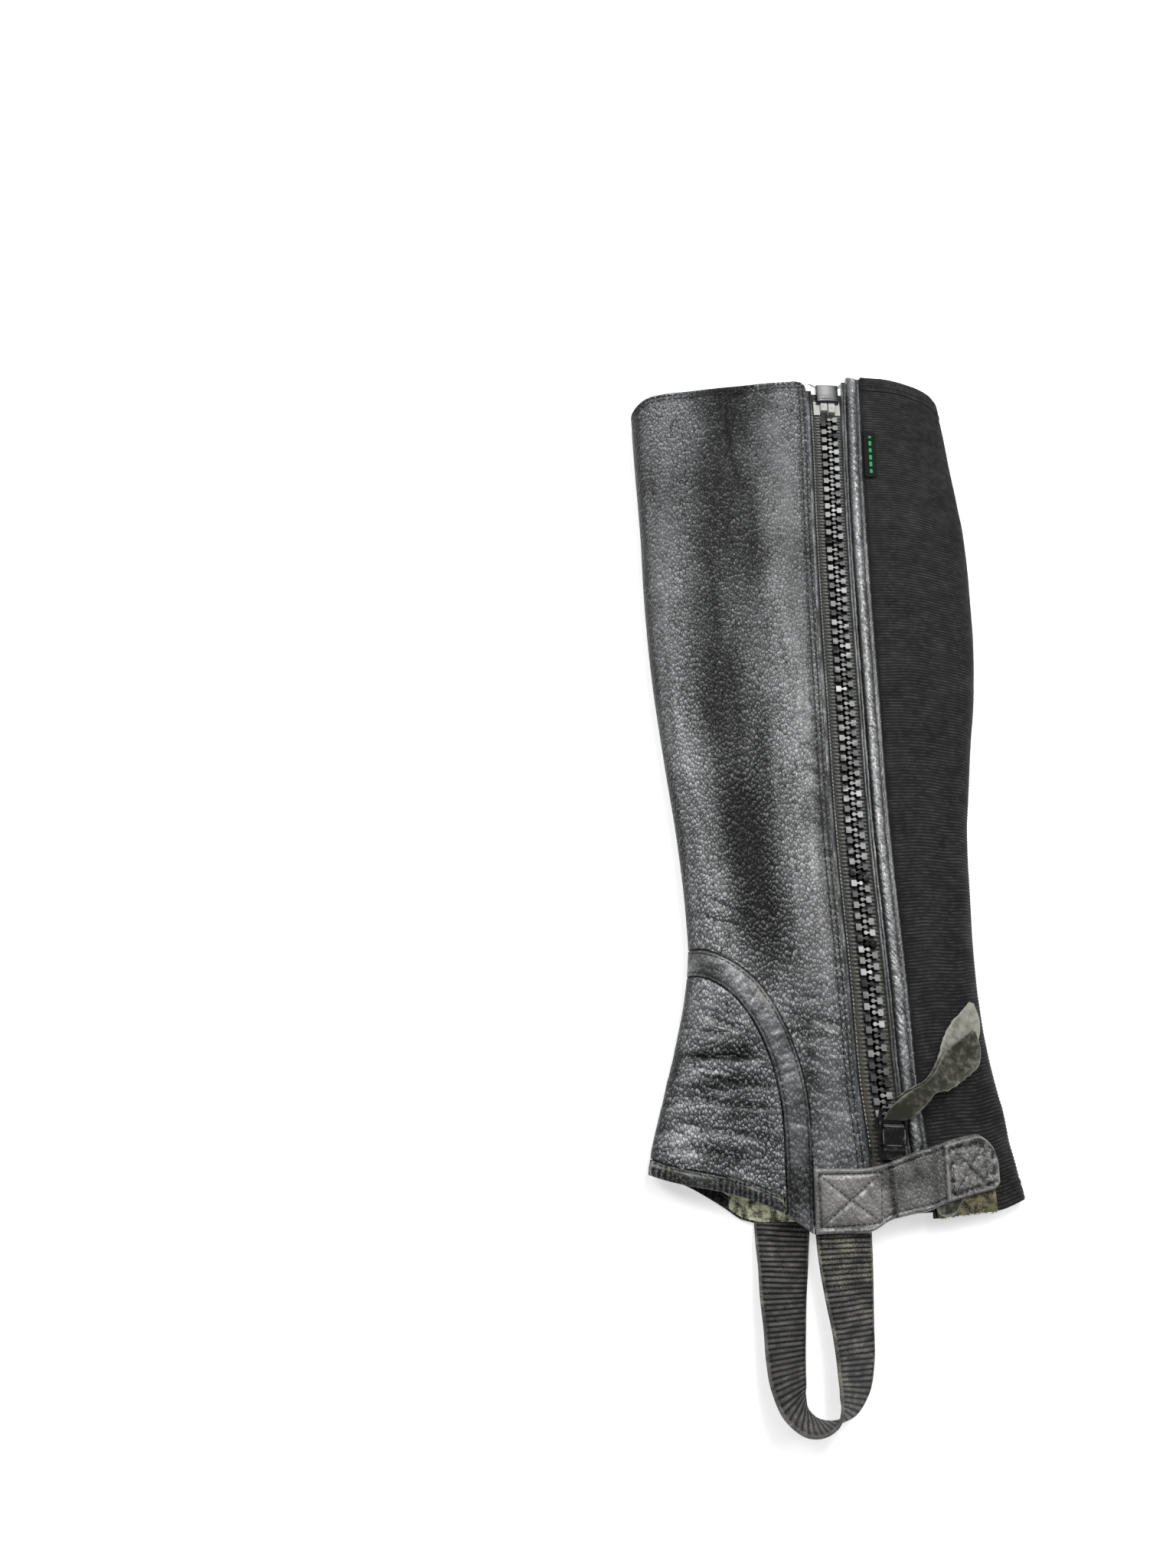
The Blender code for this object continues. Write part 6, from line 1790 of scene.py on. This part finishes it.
@dataclass
class Thong:
    """Two suede tails of the thong that is tied to the pull."""

    palette: Palette
    thickness: float = 1.2
    front = Knots("x y lift wx wy wz", [
        (21.6, -138, 6.3, -4.9, 0.3, 0.75), (23, -136.6, 6.7, -4.8, 1.4, 0.85),
        (25.6, -134.6, 7.2, -4.4, 2.6, 0.85), (30, -131.2, 7.6, -3.8, 3.3, 0.5),
        (34.8, -127.8, 7.4, -2.9, 3, -0.3), (39.4, -124.6, 7.2, -2.2, 2.1, -0.8),
        (45.4, -121.6, 6.4, -3.2, 3.6, -0.5), (52.4, -115.4, 5.6, -5.2, 4.6, 0.4),
        (58.8, -109.4, 5.4, -6.4, 4.3, 0.9), (62.4, -103.6, 5.8, -4.4, 2, 0.8),
        (64, -98.2, 6.2, -0.8, 0.4, 0.2)])
    back = Knots("x y lift wx wy wz", [
        (27.4, -130, 2.6, -3, 1.9, 0.3), (31, -128.6, 3.6, -3.1, 2.7, 0),
        (35.2, -126.2, 4.4, -2.6, 2.7, -0.3), (39.8, -123.2, 4.2, -2, 2.2, -0.6),
        (44.6, -119.6, 3.2, -2.7, 2.4, -0.2), (50.2, -114.4, 2.4, -4.4, 3.4, 0.6),
        (56, -106.2, 2.2, -6.2, 4.2, 0.8), (61.2, -97.6, 2.6, -6.4, 3.6, 1),
        (64.4, -90.4, 3.4, -4.2, 1.6, 0.8), (65.2, -85, 4, -1, 0.3, 0.2)])

    def tail(self, name: str, rows: Knots, pale: Knots) -> Piece:
        """One tail carried along its line, curled a little across, with a soft ragged edge.

        Args: name: piece's name. rows: the line and its width. pale: wear along it.
        Returns: the tail.
        """
        line = rows.path("x y lift wx wy wz", 130)
        s = np.linspace(0.0, 1.0, 130)[:, None]
        centre = LEG.skin(LEG.phi(line[:, 0], line[:, 1]), line[:, 1])
        centre[:, 2] += line[:, 2]
        side = line[:, 3:]
        normal = strip_frame(centre, side)
        across = -1.0 + 2.0 * edged(13, 0.02, 0.06)[None, :]
        ragged = 1.0 + 0.05 * TREMOR(s * 38.0, across * 0.6) * np.abs(across) ** 3
        bend = 0.25 * WAVE(s * 6.0, across * 0.9) + 0.12 * WRINKLE(s * 20.0, across * 2.0)
        base = centre[:, None, :] + (across * ragged)[..., None] * side[:, None, :]
        base = base + bend[..., None] * normal[:, None, :]
        half = self.thickness / 2 - rounded((1 - np.abs(across)) * 4.0, 0.55) + 0 * s
        run = run_along(centre)[:, None]
        width = np.linalg.norm(side, axis=1)[:, None]
        uv = np.stack([across * width, run + 0 * across], axis=-1) * MM
        marks = {"wear": pale.at("wear", s, "s") + 0.3 * bell(1 - np.abs(across), 0.12)
                 + 0.12 * WAVE(s * 9.0, across)}
        return add_wall(name, base + half[..., None] * normal[:, None, :],
                        base - half[..., None] * normal[:, None, :], self.palette.suede, uv, marks)

    def build(self) -> list[Piece]:
        """Returns: front and back tail."""
        front = Knots("s wear", [(0.0, -0.02), (0.22, 0.10), (0.42, 0.02), (0.6, 0.12), (1.0, 0.22)])
        back = Knots("s wear", [(0.0, 0.10), (0.4, 0.25), (0.6, 0.50), (1.0, 0.80)])
        return [self.tail("thong_front_suede", self.front, front),
                self.tail("thong_back_suede", self.back, back)]


# ---- studio
@dataclass
class Studio:
    """Pale floor, soft lights and the camera."""

    eye: tuple[float, float, float] = (-0.1155, -0.150, 0.550)
    tilt: float = 18.0
    focal_pixels: float = 1462.0
    frame_height: float = 2048.0

    def camera(self) -> None:
        """Camera that looks down at the floor, tilted towards the knee."""
        data = bpy.data.cameras.new("camera")
        data.sensor_width = 36.0
        data.lens = self.focal_pixels / self.frame_height * data.sensor_width
        data.clip_start = 0.01
        made = bpy.data.objects.new("camera", data)
        made.location = self.eye
        made.rotation_euler = (math.radians(self.tilt), 0.0, 0.0)
        bpy.context.scene.collection.objects.link(made)
        bpy.context.scene.camera = made

    def floor(self) -> None:
        """Large level sheet under the object."""
        side = np.linspace(-3000.0, 3000.0, 9)
        x, y = np.meshgrid(side, side)
        g = Graph("pale_floor")
        cloud = g.noise(g.solid(), 400.0)
        finish = g.finish(Base_Color=g.mix(cloud, grey(0.84), grey(0.88)), Roughness=0.9,
                          Emission_Color=(1.0, 1.0, 1.0, 1.0), Emission_Strength=0.55)
        made = add_mesh("floor", np.stack([x, y, 0 * x - 0.02], axis=-1), grid_faces(9, 9), finish)

    def light(self, name: str, place: tuple, aim: tuple, size: tuple[float, float], watts: float) -> None:
        """Soft light of a width and length that faces a point.

        Args: name: the light's name. place: where it stands. aim: the point. size: width and length.
            watts: its power.
        """
        data = bpy.data.lights.new(name, "AREA")
        data.shape, data.energy = "RECTANGLE", watts
        data.size, data.size_y = size
        made = bpy.data.objects.new(name, data)
        made.location = place
        made.rotation_euler = (Vector(aim) - Vector(place)).to_track_quat("-Z", "Y").to_euler()
        bpy.context.scene.collection.objects.link(made)

    def build(self) -> None:
        """World, lights, floor and camera."""
        scene = bpy.context.scene
        scene.view_settings.view_transform = "Standard"
        world = bpy.data.worlds.new("studio")
        world.use_nodes = True
        tree, sky = world.node_tree, world.node_tree.nodes["Background"]
        sky.inputs["Color"].default_value = (1.0, 1.0, 1.0, 1.0)
        seen, level = tree.nodes.new("ShaderNodeLightPath"), tree.nodes.new("ShaderNodeMapRange")
        level.inputs["To Min"].default_value, level.inputs["To Max"].default_value = 0.12, 0.85
        tree.links.new(seen.outputs["Is Camera Ray"], level.inputs["Value"])
        tree.links.new(level.outputs[0], sky.inputs["Strength"])
        scene.world = world
        self.light("overhead", (0.14, 0.42, 1.00), (0.0, 0.08, 0.0), (0.26, 0.95), 4.5)
        self.light("glint", (0.10, 0.40, 1.05), (0.0, 0.05, 0.0), (0.05, 0.30), 2.2)
        self.light("soft_left", (-0.60, 0.30, 0.80), (-0.02, 0.05, 0.0), (0.25, 0.9), 4.5)
        self.light("soft_right", (0.75, 0.20, 0.80), (0.0, 0.05, 0.0), (0.30, 0.9), 3.0)
        self.floor()
        self.camera()


# ---- the half chap
class Body(Enum):
    """Bodies of the record that pieces ride on."""

    CHAP = "chap"
    PULL = "zip_pull"


class Slot(Enum):
    """Names of material slots; build_zip lists one beside each of its pieces, but nothing reads them."""

    LEATHER = "black_leather"
    ELASTIC = "ribbed_elastic"
    TAG = "woven_tag"
    TAPE = "zip_tape"
    ZIP = "moulded_zip"
    PINS = "zip_pin_plastic"
    LOOPS = "loop_fabric"
    WEBBING = "ribbed_webbing"
    LACE = "lace_leather"


def settle(piece: Piece, solid: str = "",
           body: Body = Body.CHAP) -> None:
    """Say where a piece belongs, and report it.

    Args:
        piece: the object.
        solid: the solid that it replaces, if any.
        body: body that it rides on.
    """
    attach(piece, body.value)
    if solid:
        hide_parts(solid)
    LOG.info("%s: %d faces on %s", piece.name, len(piece.data.polygons), body.value)


def build_leather(palette: Palette) -> None:
    """Leg, ankle and their stitching.

    Args: palette: the materials.
    """
    leg, ankle = LegPanel(palette), Ankle(palette)
    settle(leg.build(), "leg_leather")
    settle(leg.topstitching())
    settle(ankle.band(), "ankle_band")
    settle(ankle.band_stitching())
    settle(ankle.gusset(), "ankle_gusset")
    settle(ankle.binding(), "gusset_binding")


def build_elastic(palette: Palette) -> None:
    """Calf panel, hems and tag.

    Args: palette: the materials.
    """
    elastic = ElasticPanel(palette)
    settle(elastic.build(), "elastic_panel")
    settle(elastic.hem_stitching())
    settle(Tag(palette).build(), "label")


def build_zip(palette: Palette) -> None:
    """Zip and what edges it.

    Args: palette: the materials.
    """
    zipper = Zip(palette)
    shin = np.concatenate([np.linspace(-19.5, -9.0, 8), np.linspace(-8.4, -1.3, 16)])
    calf = np.linspace(1.3, 11.7, 20)
    settle(zipper.tape("tape_shin_side", shin), "zip_tape_shin")
    settle(zipper.tape("tape_calf_side", calf), "zip_tape_calf")
    for piece, slot, solid in (
            (zipper.edge_strip(), Slot.LEATHER, ""), (zipper.edge_beads(), Slot.LEATHER, ""),
            (zipper.teeth(), Slot.ZIP, "zip_chain"), (zipper.box(), Slot.ZIP, "zip_box"),
            (zipper.pins(), Slot.PINS, "zip_pins"), (zipper.film(), Slot.PINS, ""),
            (zipper.corner_threads(), Slot.PINS, ""), (zipper.bridge_glints(), Slot.ZIP, ""),
            (zipper.facing(), Slot.LEATHER, "zip_facing"), (zipper.roll(), Slot.LEATHER, "zip_binding_roll"),
            (zipper.frayed_thread(), Slot.LEATHER, "")):
        settle(piece, solid)


def build_ankle_fittings(palette: Palette) -> None:
    """Strap, patches and stirrup.

    Args: palette: the materials.
    """
    strap, inner = AnkleStrap(palette), InnerPatch(palette)
    settle(strap.strap(), "ankle_strap")
    settle(strap.end_patch(), "strap_end_patch")
    settle(strap.stitching())
    settle(strap.loops(), "loop_patch")
    settle(strap.curls())
    settle(strap.tab())
    settle(inner.build(), "inner_patch")
    settle(inner.curls())
    settle(Stirrup(palette).build(), "stirrup_webbing")


def build_pull(palette: Palette) -> None:
    """Dress the slider and the pull, and build the thong on it.

    Args: palette: the materials.
    """
    for name in ("slider_body", "zip_pull_plate"):
        for holder in bpy.data.objects[name].material_slots:
            holder.material = palette.enamel
    front, back = Thong(palette).build()
    settle(front, "thong_front", Body.PULL)
    settle(back, "thong_back", Body.PULL)


def main() -> None:
    """Build the half chap and its studio."""
    logging.basicConfig(level=logging.INFO, format="%(message)s")
    palette = Palette()
    for build in (build_leather, build_elastic, build_zip, build_ankle_fittings, build_pull):
        build(palette)
    Studio().build()


if __name__ == "__main__":
    main()
